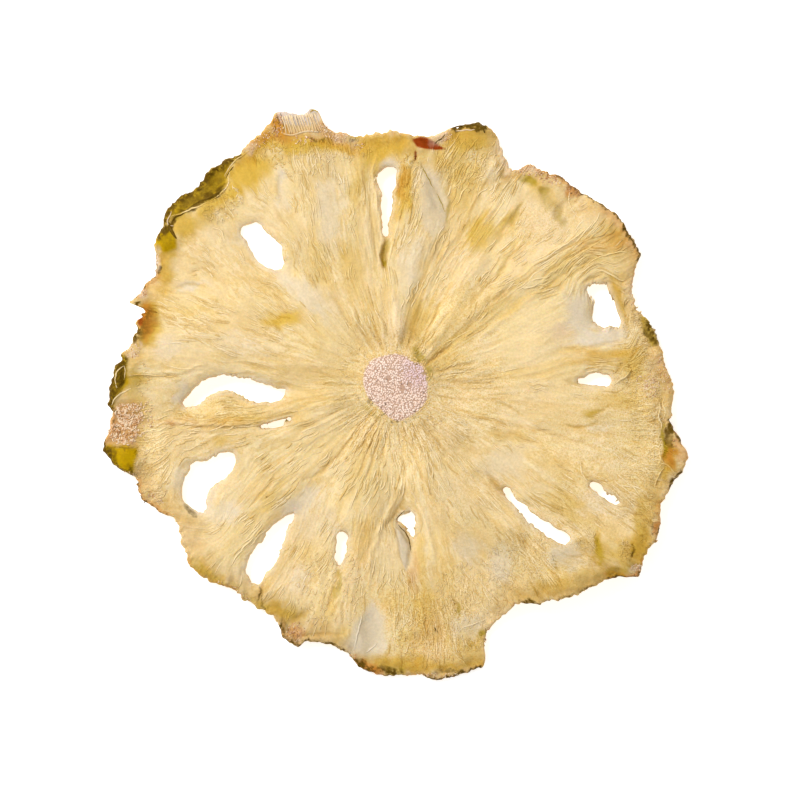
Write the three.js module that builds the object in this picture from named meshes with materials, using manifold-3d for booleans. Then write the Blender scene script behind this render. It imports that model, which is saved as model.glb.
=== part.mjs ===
// A dried pineapple slice: a thin, wavy sheet of radial flesh with a thicker core, a crumpled
// rim and twelve slits where the flesh has torn between its segments.
//
// Millimetres. The slice lies flat on z = 0 with its cut face up, and its origin is the bottom
// centre of its bounding box. Until the last step, places are measured from the core's centre.
import * as THREE from 'three';
import { mergeVertices } from 'three/addons/utils/BufferGeometryUtils.js';
import Module from 'manifold-3d';

// ---------------------------------------------------------------- driving dimensions

const CORE_RADIUS = 5.3; // woody core, hardly shrunk
const CORE_THICKNESS = 3.9;
const CORE_EDGE = 1.2; // width of the slope from the core down to the flesh

const FLESH_THICKNESS = 2.1;
const RIM_THICKNESS = 2.9; // the rim is curled and so thicker than the flesh
const RIM_BAND = 5.0; // width of the curled rim
const EDGE_THICKNESS = 1.1; // at the very edge, and at the lips of the slits
const EDGE_BAND = 3.0; // the flesh thins out over this width

const WAVE_HEIGHT = 3.2; // the sheet's slow waves, at the rim
const WAVE_START = 7.0; // the waves begin here and grow outwards
const WAVE_END = 42.0;
const BASE_LIFT = 0.9; // the flesh's underside above the core's, on average
const GROUND_EASE = 0.6; // how gently the underside meets the ground
const GROUND_BITE = 0.06; // the lowest waves are pressed flat by this much

const CORE_RINGS = 2; // rings of the relief's grid inside the core
const TOP_GRID = { sectors: 96, rings: 22 };
const BOTTOM_GRID = { sectors: 64, rings: 15 };
const GRID_RADIUS = 50.0; // reaches past the outline everywhere
const GRID_TURN = 0.011; // keeps the grid's spokes off the outline's own corners
const BLOCK_REACH = 20.0; // how far the cutting blocks run above and below the slice

// Waves round the slice: [number of waves, share of WAVE_HEIGHT, phase]
const WAVES = [
  [2, 0.22, 0.6],
  [3, 0.3, 2.1],
  [5, 0.36, 4.0],
  [8, 0.26, 1.3],
  [13, 0.1, 5.2],
];

// ---------------------------------------------------------------- outlines, [x, y] in mm

// The outer edge, anticlockwise from the peak at the upper left.
const RIM = [
  [-12.3, 43.5], [-14.9, 42.6], [-18.5, 43.0], [-20.5, 40.2], [-24.9, 36.0], [-28.8, 34.0],
  [-30.2, 31.9], [-35.4, 27.9], [-37.1, 23.5], [-37.1, 18.9], [-39.6, 14.6],
  [-41.3, 13.0], [-39.1, 12.2], [-40.2, 8.1], [-43.7, 2.5], [-44.8, -2.0],
  [-44.0, -4.9], [-45.4, -9.4], [-43.7, -12.2], [-40.4, -13.9], [-39.6, -17.2],
  [-36.6, -19.7], [-34.0, -21.0], [-32.6, -26.8], [-29.7, -29.7], [-24.6, -32.0],
  [-23.8, -33.3], [-19.2, -35.7], [-17.8, -38.2], [-15.3, -40.7], [-14.1, -39.8], [-8.6, -40.8],
  [-5.2, -43.8], [-1.6, -45.2], [1.1, -44.8], [6.9, -45.9], [12.2, -44.3],
  [14.1, -42.6], [13.8, -40.1], [14.7, -37.4], [17.8, -35.1], [19.6, -33.6],
  [24.9, -33.3], [31.5, -31.0], [33.2, -29.4], [37.9, -29.4], [39.0, -26.4],
  [41.0, -22.8], [41.6, -18.5], [43.5, -15.0], [45.7, -11.1], [44.1, -7.5],
  [43.0, -4.2], [43.4, -0.5], [41.8, 5.0], [40.5, 9.1], [37.7, 11.9],
  [36.9, 16.0], [38.2, 20.3], [36.6, 24.3], [33.0, 28.2], [28.8, 30.2],
  [26.1, 32.9], [23.0, 33.8], [20.8, 34.9], [18.8, 33.8], [16.9, 36.6],
  [15.8, 39.4], [13.3, 41.2], [8.8, 40.5], [4.9, 38.8], [-0.8, 39.9],
  [-6.3, 39.1], [-11.0, 40.7],
];

// The torn slits, named by where they lie. Each list goes once round the slit's lip.
const SLITS = {
  upper_left: [
    [-24.3, 24.9], [-21.8, 25.8], [-20.0, 24.9], [-17.5, 22.8], [-16.7, 18.5],
    [-19.9, 18.5], [-21.9, 20.0], [-23.2, 22.5],
  ],
  top: [
    [-2.8, 32.9], [0.0, 34.3], [0.2, 31.6], [-0.5, 27.2], [-1.4, 22.8], [-2.0, 27.2],
    [-2.2, 30.4],
  ],
  left_crescent: [
    [-33.2, -3.4], [-31.9, -0.6], [-28.6, 1.6], [-23.5, 1.6], [-19.6, 0.2], [-16.6, -0.6],
    [-18.3, -2.3], [-22.7, -2.3], [-26.1, -0.6], [-28.5, -1.1], [-30.8, -2.8],
  ],
  left_nick: [
    [-21.1, -6.3], [-18.3, -5.2], [-16.1, -5.0], [-18.2, -6.4],
  ],
  left_lower: [
    [-32.1, -11.9], [-29.1, -11.1], [-26.1, -10.0], [-24.7, -11.1], [-25.8, -13.6],
    [-28.6, -16.0], [-29.4, -19.4], [-31.1, -19.6], [-33.6, -17.7], [-32.9, -13.8],
  ],
  lower_left_diagonal: [
    [-14.9, -19.2], [-18.6, -21.1], [-20.5, -23.3], [-23.2, -27.1], [-23.2, -30.2],
    [-21.6, -31.1], [-19.6, -29.3], [-17.8, -25.5], [-16.7, -22.1],
  ],
  bottom_left: [
    [-8.9, -22.8], [-7.4, -23.0], [-7.7, -26.3], [-8.9, -28.5], [-9.1, -25.7],
  ],
  below_core: [
    [0.2, -20.8], [1.6, -19.1], [3.1, -19.9], [3.3, -22.1], [2.8, -24.4], [1.7, -22.1],
  ],
  lower_right_diagonal: [
    [16.7, -16.1], [18.5, -16.6], [20.7, -18.6], [23.9, -20.8], [28.2, -22.8],
    [28.3, -24.9], [25.2, -24.4], [22.7, -22.8], [19.4, -19.6],
  ],
  right_nick: [
    [30.5, -15.2], [32.6, -15.6], [34.9, -18.3], [32.2, -17.4],
  ],
  right_ellipse: [
    [29.1, 0.9], [30.8, 2.0], [33.3, 2.0], [34.6, 1.3], [34.3, -0.2], [30.5, 0.0],
  ],
  upper_right: [
    [29.7, 15.2], [31.6, 16.4], [33.3, 16.1], [34.7, 12.5], [35.8, 9.1], [32.6, 9.1],
    [30.8, 10.6], [31.0, 13.5],
  ],
};

// Folds in the sheet, each from one place to another. Height is negative for a valley.
const FOLDS = [
  { from: [1.8, 5.2], to: [6.1, 13.9], height: -1.2, width: 1.5 },
  { from: [6.1, 13.9], to: [14.9, 32.7], height: -0.8, width: 1.8 },
  { from: [5.5, 3.3], to: [18.6, 13.3], height: -0.7, width: 1.5 },
  { from: [18.6, 13.3], to: [33.0, 21.4], height: -0.8, width: 2.2 },
  { from: [3.9, 7.8], to: [13.0, 22.0], height: 0.7, width: 1.8 },
  { from: [11.0, 11.0], to: [29.0, 22.5], height: 0.8, width: 2.2 },
  { from: [4.8, 34.0], to: [8.2, 26.0], height: -1.0, width: 1.6 },
  { from: [-1.4, 18.3], to: [-1.4, 34.0], height: -0.9, width: 2.4 },
  { from: [-5.0, 5.2], to: [-16.4, 18.5], height: -0.7, width: 1.8 },
  { from: [-12.7, 5.8], to: [-33.0, 16.4], height: 0.7, width: 2.6 },
  { from: [-12.6, 0.2], to: [-34.0, -3.5], height: -0.8, width: 2.0 },
  { from: [-10.5, -7.8], to: [-30.0, -16.0], height: -0.6, width: 2.2 },
  { from: [-4.5, -4.3], to: [-15.2, -19.0], height: -0.7, width: 1.6 },
  { from: [-3.0, -9.0], to: [-8.5, -36.0], height: 0.6, width: 2.2 },
  { from: [0.5, -15.5], to: [2.2, -28.0], height: -1.1, width: 1.5 },
  { from: [4.3, -6.1], to: [9.0, -36.0], height: 0.6, width: 2.0 },
  { from: [6.5, -6.0], to: [16.7, -16.1], height: -0.7, width: 1.6 },
  { from: [15.0, -13.7], to: [28.0, -24.5], height: -0.9, width: 1.8 },
  { from: [8.0, 0.2], to: [19.0, -3.6], height: -0.6, width: 1.4 },
  { from: [14.0, -1.0], to: [36.0, -5.0], height: 0.6, width: 2.4 },
  { from: [21.0, -34.0], to: [37.0, -24.5], height: 1.2, width: 2.6 },
  { from: [26.8, 7.0], to: [35.0, 9.0], height: -0.7, width: 1.8 },
];

// Lumps on the curled rim, where bits of rind and their eyes are left.
const LUMPS = [
  { at: [-43.0, -9.5], height: 1.7, width: 2.6 },
  { at: [-42.2, -4.0], height: 0.9, width: 3.0 },
  { at: [-42.5, 1.8], height: 1.2, width: 2.6 },
  { at: [-35.5, 21.5], height: 0.8, width: 3.0 },
  { at: [-31.0, 29.0], height: 1.2, width: 3.2 },
  { at: [-15.5, 39.5], height: 0.9, width: 3.6 },
  { at: [12.0, 38.5], height: 1.1, width: 3.2 },
  { at: [25.0, 30.5], height: 0.9, width: 2.8 },
  { at: [38.6, 10.0], height: 0.8, width: 2.4 },
  { at: [43.0, -10.0], height: 1.3, width: 2.6 },
  { at: [37.0, -27.0], height: 1.3, width: 2.8 },
  { at: [-17.5, -37.0], height: 1.0, width: 2.8 },
];

// ---------------------------------------------------------------- outline helpers

const SAMPLES_PER_POINT = 3; // straight steps between two outline points

function smoothLoop(points) {
  const knots = points.map(([x, y]) => new THREE.Vector3(x, y, 0));
  const curve = new THREE.CatmullRomCurve3(knots, true, 'centripetal');
  const samples = curve.getPoints(points.length * SAMPLES_PER_POINT);
  samples.pop();
  return samples.map((p) => new THREE.Vector2(p.x, p.y));
}

const rimLoop = smoothLoop(RIM);
const slitLoops = Object.values(SLITS).map(smoothLoop);

function distanceToSegment(p, a, b) {
  const along = b.clone().sub(a);
  const t = THREE.MathUtils.clamp(p.clone().sub(a).dot(along) / along.lengthSq(), 0, 1);
  return p.distanceTo(along.multiplyScalar(t).add(a));
}

function distanceToLoop(p, loop) {
  let nearest = Infinity;
  for (let i = 0; i < loop.length; i += 1) {
    nearest = Math.min(nearest, distanceToSegment(p, loop[i], loop[(i + 1) % loop.length]));
  }
  return nearest;
}

// ---------------------------------------------------------------- relief of the sheet

function waveHeight(radius, angle) {
  let sum = 0;
  for (const [count, share, phase] of WAVES) {
    sum += share * Math.cos(count * angle + phase);
  }
  return sum * WAVE_HEIGHT * THREE.MathUtils.smoothstep(radius, WAVE_START, WAVE_END);
}

function foldHeight(p) {
  let sum = 0;
  for (const { from, to, height, width } of FOLDS) {
    const reach = distanceToSegment(p, new THREE.Vector2(...from), new THREE.Vector2(...to));
    sum += height * Math.exp(-((reach / width) ** 2));
  }
  return sum;
}

function lumpHeight(p) {
  let sum = 0;
  for (const { at, height, width } of LUMPS) {
    sum += height * Math.exp(-((p.distanceTo(new THREE.Vector2(...at)) / width) ** 2));
  }
  return sum;
}

// 1 on the core, 0 on the flesh.
function coreShare(radius) {
  return 1 - THREE.MathUtils.smoothstep(radius, CORE_RADIUS, CORE_RADIUS + CORE_EDGE);
}

function thickness(p, radius) {
  const toRim = distanceToLoop(p, rimLoop);
  const toSlit = Math.min(...slitLoops.map((loop) => distanceToLoop(p, loop)));
  const flesh = THREE.MathUtils.lerp(
    RIM_THICKNESS,
    FLESH_THICKNESS,
    THREE.MathUtils.smoothstep(toRim, 0, RIM_BAND),
  );
  const thinned = THREE.MathUtils.lerp(
    EDGE_THICKNESS,
    flesh,
    THREE.MathUtils.smoothstep(Math.min(toRim, toSlit), 0, EDGE_BAND),
  );
  return THREE.MathUtils.lerp(thinned + lumpHeight(p), CORE_THICKNESS, coreShare(radius));
}

// The underside's height. It never dips below the ground: where a wave would, it lies on it.
function undersideHeight(p, radius) {
  const middle = FLESH_THICKNESS / 2 + BASE_LIFT + waveHeight(radius, p.angle()) + foldHeight(p);
  const free = middle - (thickness(p, radius) - lumpHeight(p)) / 2;
  const eased = (free + Math.hypot(free, GROUND_EASE)) / 2 - GROUND_BITE;
  return Math.max(0, eased * (1 - coreShare(radius)));
}

function topHeight(x, y) {
  const p = new THREE.Vector2(x, y);
  const radius = p.length();
  return undersideHeight(p, radius) + thickness(p, radius);
}

function bottomHeight(x, y) {
  const p = new THREE.Vector2(x, y);
  return undersideHeight(p, p.length());
}

// ---------------------------------------------------------------- solids

// A closed block between a flat face at flatZ and a relief given by heightAt(x, y).
function reliefBlock(heightAt, flatZ, { sectors, rings }) {
  const positions = [];
  const faces = [];
  const fleshStart = CORE_RADIUS + CORE_EDGE;
  const ringRadius = (ring) => (
    ring <= CORE_RINGS
      ? (CORE_RADIUS * ring) / CORE_RINGS
      : THREE.MathUtils.mapLinear(ring, CORE_RINGS + 1, rings, fleshStart, GRID_RADIUS)
  );
  const layerSize = 1 + sectors * rings;
  for (const relief of [true, false]) {
    positions.push(0, 0, relief ? heightAt(0, 0) : flatZ);
    for (let ring = 1; ring <= rings; ring += 1) {
      for (let sector = 0; sector < sectors; sector += 1) {
        const angle = (2 * Math.PI * sector) / sectors + GRID_TURN;
        const x = ringRadius(ring) * Math.cos(angle);
        const y = ringRadius(ring) * Math.sin(angle);
        positions.push(x, y, relief ? heightAt(x, y) : flatZ);
      }
    }
  }
  const at = (layer, ring, sector) => (
    layer * layerSize + (ring === 0 ? 0 : 1 + (ring - 1) * sectors + (sector % sectors))
  );
  const faceUp = (a, b, c, layer) => {
    faces.push(...(layer === 0 ? [a, b, c] : [a, c, b]));
  };
  for (let layer = 0; layer < 2; layer += 1) {
    for (let sector = 0; sector < sectors; sector += 1) {
      faceUp(at(layer, 0, 0), at(layer, 1, sector), at(layer, 1, sector + 1), layer);
      for (let ring = 1; ring < rings; ring += 1) {
        const [a, b] = [at(layer, ring, sector), at(layer, ring + 1, sector)];
        const [c, d] = [at(layer, ring + 1, sector + 1), at(layer, ring, sector + 1)];
        faceUp(a, b, c, layer);
        faceUp(a, c, d, layer);
      }
    }
  }
  for (let sector = 0; sector < sectors; sector += 1) {
    const [a, b] = [at(0, rings, sector), at(0, rings, sector + 1)];
    const [c, d] = [at(1, rings, sector + 1), at(1, rings, sector)];
    faces.push(a, d, c, a, c, b);
  }
  const outward = flatZ < 0 ? faces : faces.toReversed();
  const geometry = new THREE.BufferGeometry();
  geometry.setAttribute('position', new THREE.Float32BufferAttribute(positions, 3));
  geometry.setIndex(outward);
  return geometry;
}

// The slice's outline with its slits, as an upright prism through both blocks.
function outlinePrism() {
  const shape = new THREE.Shape(rimLoop);
  for (const loop of slitLoops) {
    shape.holes.push(new THREE.Path(loop));
  }
  const geometry = new THREE.ExtrudeGeometry(shape, { depth: BLOCK_REACH, bevelEnabled: false });
  geometry.translate(0, 0, -BLOCK_REACH / 4);
  return geometry;
}

const wasm = await Module();
wasm.setup();

function toManifold(geometry) {
  const bare = geometry.clone();
  bare.deleteAttribute('normal');
  bare.deleteAttribute('uv');
  const merged = mergeVertices(bare);
  return new wasm.Manifold(new wasm.Mesh({
    numProp: 3,
    vertProperties: new Float32Array(merged.attributes.position.array),
    triVerts: new Uint32Array(merged.index.array),
  }));
}

function toGeometry(manifold) {
  const { vertProperties, triVerts } = manifold.getMesh();
  const geometry = new THREE.BufferGeometry();
  geometry.setAttribute('position', new THREE.BufferAttribute(vertProperties, 3));
  geometry.setIndex(new THREE.BufferAttribute(triVerts, 1));
  return geometry;
}

function sliceGeometry() {
  const belowTop = toManifold(reliefBlock(topHeight, -BLOCK_REACH, TOP_GRID));
  const aboveBottom = toManifold(reliefBlock(bottomHeight, BLOCK_REACH, BOTTOM_GRID));
  const slice = toManifold(outlinePrism()).intersect(belowTop).intersect(aboveBottom);
  const geometry = toGeometry(slice);
  geometry.computeBoundingBox();
  const middle = geometry.boundingBox.getCenter(new THREE.Vector3());
  geometry.translate(-middle.x, -middle.y, -geometry.boundingBox.min.z);
  geometry.computeVertexNormals();
  return geometry;
}

// ---------------------------------------------------------------- the part

const driedFlesh = new THREE.MeshStandardMaterial({
  name: 'dried_flesh',
  color: 0xecc77c,
  roughness: 0.62,
  metalness: 0,
});

const slice = new THREE.Mesh(sliceGeometry(), driedFlesh);
slice.name = 'pineapple_slice';

const part = new THREE.Group();
part.name = 'dried_pineapple_slice';
part.add(slice);

export default part;
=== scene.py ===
"""A dried pineapple slice on a white table, seen from straight above.

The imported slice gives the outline, the slits and the slow waves. This script lays a fine sheet
over them: a grid that follows the fruit's fibres from the core to the rim, with its creases,
raised fibres, torn lips and crumpled edge, and then the loose parts that stand on it.

Numpy arrays are in millimetres in the row's frame; meshes are made in metres.
"""

import math

import bpy
import numpy as np
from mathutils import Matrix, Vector
from mathutils.bvhtree import BVHTree
from mathutils.geometry import delaunay_2d_cdt


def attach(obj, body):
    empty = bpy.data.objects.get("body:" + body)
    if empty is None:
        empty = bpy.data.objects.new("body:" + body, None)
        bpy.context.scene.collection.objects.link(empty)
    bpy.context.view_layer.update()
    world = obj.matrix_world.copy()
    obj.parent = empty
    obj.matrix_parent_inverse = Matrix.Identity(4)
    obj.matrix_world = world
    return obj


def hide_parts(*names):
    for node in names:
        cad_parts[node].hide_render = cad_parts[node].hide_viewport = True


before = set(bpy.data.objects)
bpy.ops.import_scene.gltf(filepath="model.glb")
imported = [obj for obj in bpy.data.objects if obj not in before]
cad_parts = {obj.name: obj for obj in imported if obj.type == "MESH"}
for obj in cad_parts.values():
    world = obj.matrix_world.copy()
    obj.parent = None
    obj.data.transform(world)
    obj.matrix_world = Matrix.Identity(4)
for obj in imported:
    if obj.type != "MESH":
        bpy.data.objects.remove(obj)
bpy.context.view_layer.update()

NODE = "pineapple_slice"
BODY = "root"

MM = 0.001
PIXEL = 0.1565  # mm of the slice for one pixel of the photo
PHOTO_SIDE = 790  # pixels
ORIGIN_PX = np.array((396.0, 394.5))  # the frame's origin in the photo
CORE_PX = np.array((395.0, 387.0))
CORE_REACH = 5.3  # mm, the core's mean radius
FLESH_REACH = 38.0  # mm from the core's edge to the rim, on average
TURN = 2 * math.pi


def place(points):
    """Photo pixels to millimetres in the row's frame."""
    points = np.asarray(points, float)
    return (points - ORIGIN_PX) * (PIXEL, -PIXEL)


CORE = place(CORE_PX)

# ---------------------------------------------------------------- small maths


def smoothstep(low, high, value):
    """0 below low, 1 above high, and smooth between them."""
    t = np.clip((value - low) / (high - low), 0.0, 1.0)
    return t * t * (3.0 - 2.0 * t)


def fade(t):
    """Perlin's own ease from 0 to 1."""
    return t * t * t * (t * (t * 6.0 - 15.0) + 10.0)


def half_turn(angle):
    """The same direction, between minus and plus half a turn."""
    return (angle + math.pi) % TURN - math.pi


def turned(xy, angle):
    """Points turned about the origin."""
    x, y = xy.T
    across, up = math.cos(angle), math.sin(angle)
    return np.column_stack((x * across - y * up, x * up + y * across))


def tapered(along, least=0.0):
    """A thread's thickness: 1 in its middle, and the root of least at its ends."""
    return np.sqrt(np.clip(4 * along * (1 - along), least, 1.0))


def gradient_noise(seed, u, v, wrap=None):
    """Perlin noise, about -1 to 1, on a lattice of unit cells. wrap makes u periodic."""
    rng = np.random.default_rng(seed)
    angles = rng.random((256, 256)) * TURN
    iu = np.floor(u).astype(int)
    iv = np.floor(v).astype(int)
    fu = u - iu
    fv = v - iv

    def corner(du, dv):
        a = (iu + du) % (wrap or 256)
        angle = angles[(a % 256) ^ ((a // 256) * 37 % 256), (iv + dv) % 256]
        return np.cos(angle) * (fu - du) + np.sin(angle) * (fv - dv)

    wu = fade(fu)
    wv = fade(fv)
    low = corner(0, 0) * (1 - wu) + corner(1, 0) * wu
    high = corner(0, 1) * (1 - wu) + corner(1, 1) * wu
    return (low * (1 - wv) + high * wv) * 1.5


def plane_noise(seed, xy, size):
    """Noise over the table plane with cells of size mm."""
    return gradient_noise(seed, *turned(xy, 0.6 + seed).T / size)


def fibre_noise(seed, turn, along, around, rows):
    """Noise that runs with the fibres: around cells in one turn, rows cells out to the rim."""
    return gradient_noise(seed, turn * around, along * rows, wrap=around)


def distances_along(path):
    """How far along an open polyline each of its points lies."""
    return np.concatenate(([0.0], np.cumsum(np.hypot(*np.diff(path, axis=0).T))))


def points_along(path, distances):
    """The points of an open polyline at these distances along it."""
    at = distances_along(path)
    return np.column_stack([np.interp(distances, at, path[:, k]) for k in range(2)])


def line_distance(xy, line):
    """Distance to a polyline, and how far along it the nearest point lies, 0 to 1."""
    line = np.asarray(line, float)
    starts = line[:-1]
    spans = line[1:] - starts
    lengths = np.hypot(spans[:, 0], spans[:, 1])
    before = np.concatenate(([0.0], np.cumsum(lengths)[:-1]))
    best = np.full(len(xy), 1e9)
    along = np.zeros(len(xy))
    for start, span, length, gone in zip(starts, spans, lengths, before):
        t = np.clip(((xy - start) @ span) / length**2, 0.0, 1.0)
        gap = np.hypot(*(xy - start - t[:, None] * span).T)
        nearer = gap < best
        best = np.where(nearer, gap, best)
        along = np.where(nearer, gone + t * length, along)
    return best, along / lengths.sum()


def loop_inside(xy, loop):
    """Which points lie inside a closed loop."""
    inside = np.zeros(len(xy), bool)
    x, y = xy.T
    for (x0, y0), (x1, y1) in zip(loop, np.roll(loop, -1, axis=0)):
        crosses = (y0 > y) != (y1 > y)
        if crosses.any():
            inside ^= crosses & (x < (x1 - x0) * (y - y0) / (y1 - y0 + 1e-12) + x0)
    return inside


def loop_distance(xy, loop):
    """Signed distance to a closed loop, positive outside it."""
    gap, _ = line_distance(xy, np.vstack((loop, loop[:1])))
    return np.where(loop_inside(xy, loop), -gap, gap)


# ---------------------------------------------------------------- the frame's slice


def cad_triangles():
    """The node's welded vertices in mm and its triangles."""
    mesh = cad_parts[NODE].data
    mesh.calc_loop_triangles()
    corners = np.array([v.co for v in mesh.vertices]) / MM
    _, first, index = np.unique(np.round(corners, 3), axis=0, return_index=True, return_inverse=True)
    triangles = index.ravel()[np.array([t.vertices[:] for t in mesh.loop_triangles])]
    return corners[first], triangles


def outline_loops(vertices, triangles):
    """The rim and the slits' lips from above: where the top meets an upright wall."""
    a, b, c = (vertices[triangles[:, k]] for k in range(3))
    normals = np.cross(b - a, c - a)
    up = normals[:, 2] > 0.02 * np.linalg.norm(normals, axis=1)
    top = triangles[up]
    edges = np.vstack([top[:, (k, (k + 1) % 3)] for k in range(3)])
    forward = {tuple(edge) for edge in edges}
    following = {p: q for p, q in forward if (q, p) not in forward}
    loops = []
    while following:
        start, here = next(iter(following.items()))
        chain = [start]
        while here != start:
            chain.append(here)
            here = following.pop(here)
        following.pop(start, None)
        loops.append(vertices[chain, :2])
    return sorted(loops, key=lambda loop: -np.ptp(loop, axis=0).max())


def resample(loop, step):
    """The loop with a point every step mm, its corners rounded off a little."""
    closed = np.vstack((loop, loop[:1]))
    total = distances_along(closed)[-1]
    count = max(12, int(round(total / step)))
    points = points_along(closed, np.linspace(0, total, count, endpoint=False))
    return (np.roll(points, 1, 0) + 2 * points + np.roll(points, -1, 0)) / 4


def blurred(field, sigma):
    """A field spread out by a bell of sigma cells."""
    taps = np.arange(-int(3 * sigma) - 1, int(3 * sigma) + 2)
    kernel = np.exp(-0.5 * (taps / sigma) ** 2)
    kernel /= kernel.sum()
    for axis in (0, 1):
        field = np.apply_along_axis(np.convolve, axis, field, kernel, mode="same")
    return field


class HeightMap:
    """The slice's top and bottom on a 1 mm lattice, smoothed and carried past its edge."""

    REACH = 52  # mm from the origin to the lattice's edge

    def __init__(self, vertices, triangles):
        tree = BVHTree.FromPolygons(vertices.tolist(), triangles.tolist())
        line = np.arange(-self.REACH, self.REACH + 1, dtype=float)
        top = np.zeros((len(line), len(line)))
        bottom = np.zeros_like(top)
        held = np.zeros_like(top)
        for i, x in enumerate(line):
            for j, y in enumerate(line):
                hit = tree.ray_cast(Vector((x, y, 40.0)), Vector((0, 0, -1)))[0]
                if hit is not None:
                    under = tree.ray_cast(Vector((x, y, -10.0)), Vector((0, 0, 1)))[0]
                    top[i, j] = hit.z
                    bottom[i, j] = under.z
                    held[i, j] = 1.0
        self.middle = self._filled((top + bottom) / 2, held)
        self.thickness = self._filled(top - bottom, held)

    @staticmethod
    def _filled(field, held):
        """The field, carried on into the places that aren't held."""
        values = field * held
        weight = held.copy()
        for sigma in (1.0, 2.0, 4.0, 8.0):
            spread = blurred(weight, sigma)
            guess = blurred(values, sigma) / np.maximum(spread, 1e-9)
            new = (weight == 0) & (spread > 1e-3)
            values = np.where(new, guess, values)
            weight = np.where(new, 1.0, weight)
        return blurred(values, 0.8)

    def at(self, xy):
        """The slice's middle height and thickness at these places."""
        return self._sample(self.middle, xy), self._sample(self.thickness, xy)

    def _sample(self, field, xy):
        """Cubic B-spline value of a field, so that no lattice line shows."""
        u = np.clip(xy + self.REACH, 1.0, 2 * self.REACH - 2.001)
        i = np.floor(u).astype(int)
        t = u - i
        weights = [
            (1 - t) ** 3 / 6,
            (3 * t**3 - 6 * t**2 + 4) / 6,
            (-3 * t**3 + 3 * t**2 + 3 * t + 1) / 6,
            t**3 / 6,
        ]
        total = np.zeros(len(xy))
        for a in range(4):
            for b in range(4):
                value = field[i[:, 0] + a - 1, i[:, 1] + b - 1]
                total += weights[a][:, 0] * weights[b][:, 1] * value
        return total


vertices, triangles = cad_triangles()
loops = [resample(loop, 0.35) for loop in outline_loops(vertices, triangles)]
RIM = loops[0]
SLITS = loops[1:]
HEIGHTS = HeightMap(vertices, triangles)

# ---------------------------------------------------------------- fibres' flow

ANGLES = 4096

# How fibres swing on their way out: (direction at the core in degrees, reach, swing in degrees)
SWINGS = [
    (118, 26, -9.0),
    (78, 16, -11.0),
    (172, 14, -6.0),
    (205, 14, 5.0),
    (262, 16, -3.0),
    (296, 18, 4.0),
    (330, 18, -4.0),
    (10, 14, 3.0),
    (40, 12, -3.0),
]

# The woody core's own rim, in photo pixels
CORE_RIM_PX = [
    (378, 357), (395, 353), (406, 356), (413, 362), (421, 364), (426, 372), (428, 386), (427, 400),
    (420, 410), (410, 417), (398, 422), (388, 417), (378, 407), (368, 398), (363, 385), (364, 371),
    (370, 361),
]


def radius_by_angle(loop, middle):
    """The loop's outermost radius about middle, for ANGLES directions from +X."""
    dense = resample(loop, 0.04) - middle
    angle = np.arctan2(dense[:, 1], dense[:, 0]) % TURN
    radius = np.hypot(*dense.T)
    slot = (angle / TURN * ANGLES).astype(int) % ANGLES
    outer = np.full(ANGLES, np.nan)
    order = np.argsort(radius)
    outer[slot[order]] = radius[order]
    known = np.flatnonzero(~np.isnan(outer))
    return np.interp(np.arange(ANGLES), known, outer[known], period=ANGLES)


def core_radius_table():
    """The core's radius by angle, its corners rounded off."""
    table = radius_by_angle(place(CORE_RIM_PX), CORE)
    reach = 80
    kernel = np.hanning(2 * reach + 1)
    wrapped = np.concatenate((table[-reach:], table, table[:reach]))
    return np.convolve(wrapped, kernel / kernel.sum(), mode="valid")


RIM_RADIUS = radius_by_angle(RIM, CORE)
CORE_RADIUS = core_radius_table()


def direction(spot):
    """The direction of a photo pixel from the core's middle."""
    offset = place(spot) - CORE
    return math.atan2(offset[1], offset[0])


def lookup(table, angle):
    """A table's value for each angle in radians, read with linear steps."""
    at = (angle / TURN) % 1.0 * len(table)
    low = np.floor(at).astype(int) % len(table)
    part = at - np.floor(at)
    return table[low] * (1 - part) + table[(low + 1) % len(table)] * part


# Where the torn rim stands out further: place and half-width in photo pixels, height in mm
RIM_TUFTS = [
    ((260, 132), 8, 0.25), ((232, 157), 8, 0.2), ((202, 177), 5, 0.15), ((165, 212), 6, 0.2),
    ((158, 265), 4, 0.2), ((131, 303), 2, 0.3), ((139, 322), 6, 1.4), ((138, 338), 6, 0.5),
    ((112, 365), 8, 0.2), ((451, 128), 6, 0.2), ((545, 170), 10, 0.2), ((580, 192), 8, 0.3),
    ((603, 205), 6, 0.2), ((645, 316), 7, 0.6), ((106, 455), 6, 0.2), ((137, 483), 6, 0.25),
    ((152, 507), 8, 0.2), ((187, 562), 6, 0.2), ((200, 575), 10, 0.25), ((220, 586), 10, 0.3),
    ((234, 590), 6, 0.3), ((282, 632), 6, 0.4), ((318, 642), 12, 0.2), ((343, 652), 8, 0.35),
    ((362, 668), 8, 0.2), ((672, 485), 6, 0.25), ((663, 502), 6, 0.2), ((645, 556), 8, 0.2),
    ((638, 573), 5, 0.3), ((610, 577), 12, 0.3), ((532, 604), 9, 0.3), ((497, 620), 6, 0.3),
    ((477, 668), 8, 0.3), ((430, 680), 24, 0.22), ((225, 159), 4, 0.3), ((254, 137), 4, 0.25),
    ((195, 186), 4, 0.25), ((173, 204), 4, 0.25), ((154, 250), 14, 0.25), ((148, 281), 5, 0.25),
    ((136, 295), 3, 0.2), ((143, 314.5), 2, 0.7), ((129.5, 353), 4, 0.5), ((106, 455), 10, 0.15),
    ((124, 472), 8, 0.2), ((170, 520), 14, 0.2), ((180, 545), 8, 0.15), ((210, 582), 14, 0.15),
    ((262, 612), 10, 0.15), ((326, 645), 12, 0.15), ((368, 672), 8, 0.2), ((395, 676), 10, 0.15),
    ((493, 626), 6, 0.3), ((532, 605), 8, 0.15), ((624, 576), 12, 0.2), ((651, 420), 20, 0.05),
    ((452, 126), 5, 0.25), ((482, 123), 4, 0.25), ((587, 193), 6, 0.35), ((640, 312), 6, 0.3),
]


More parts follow.
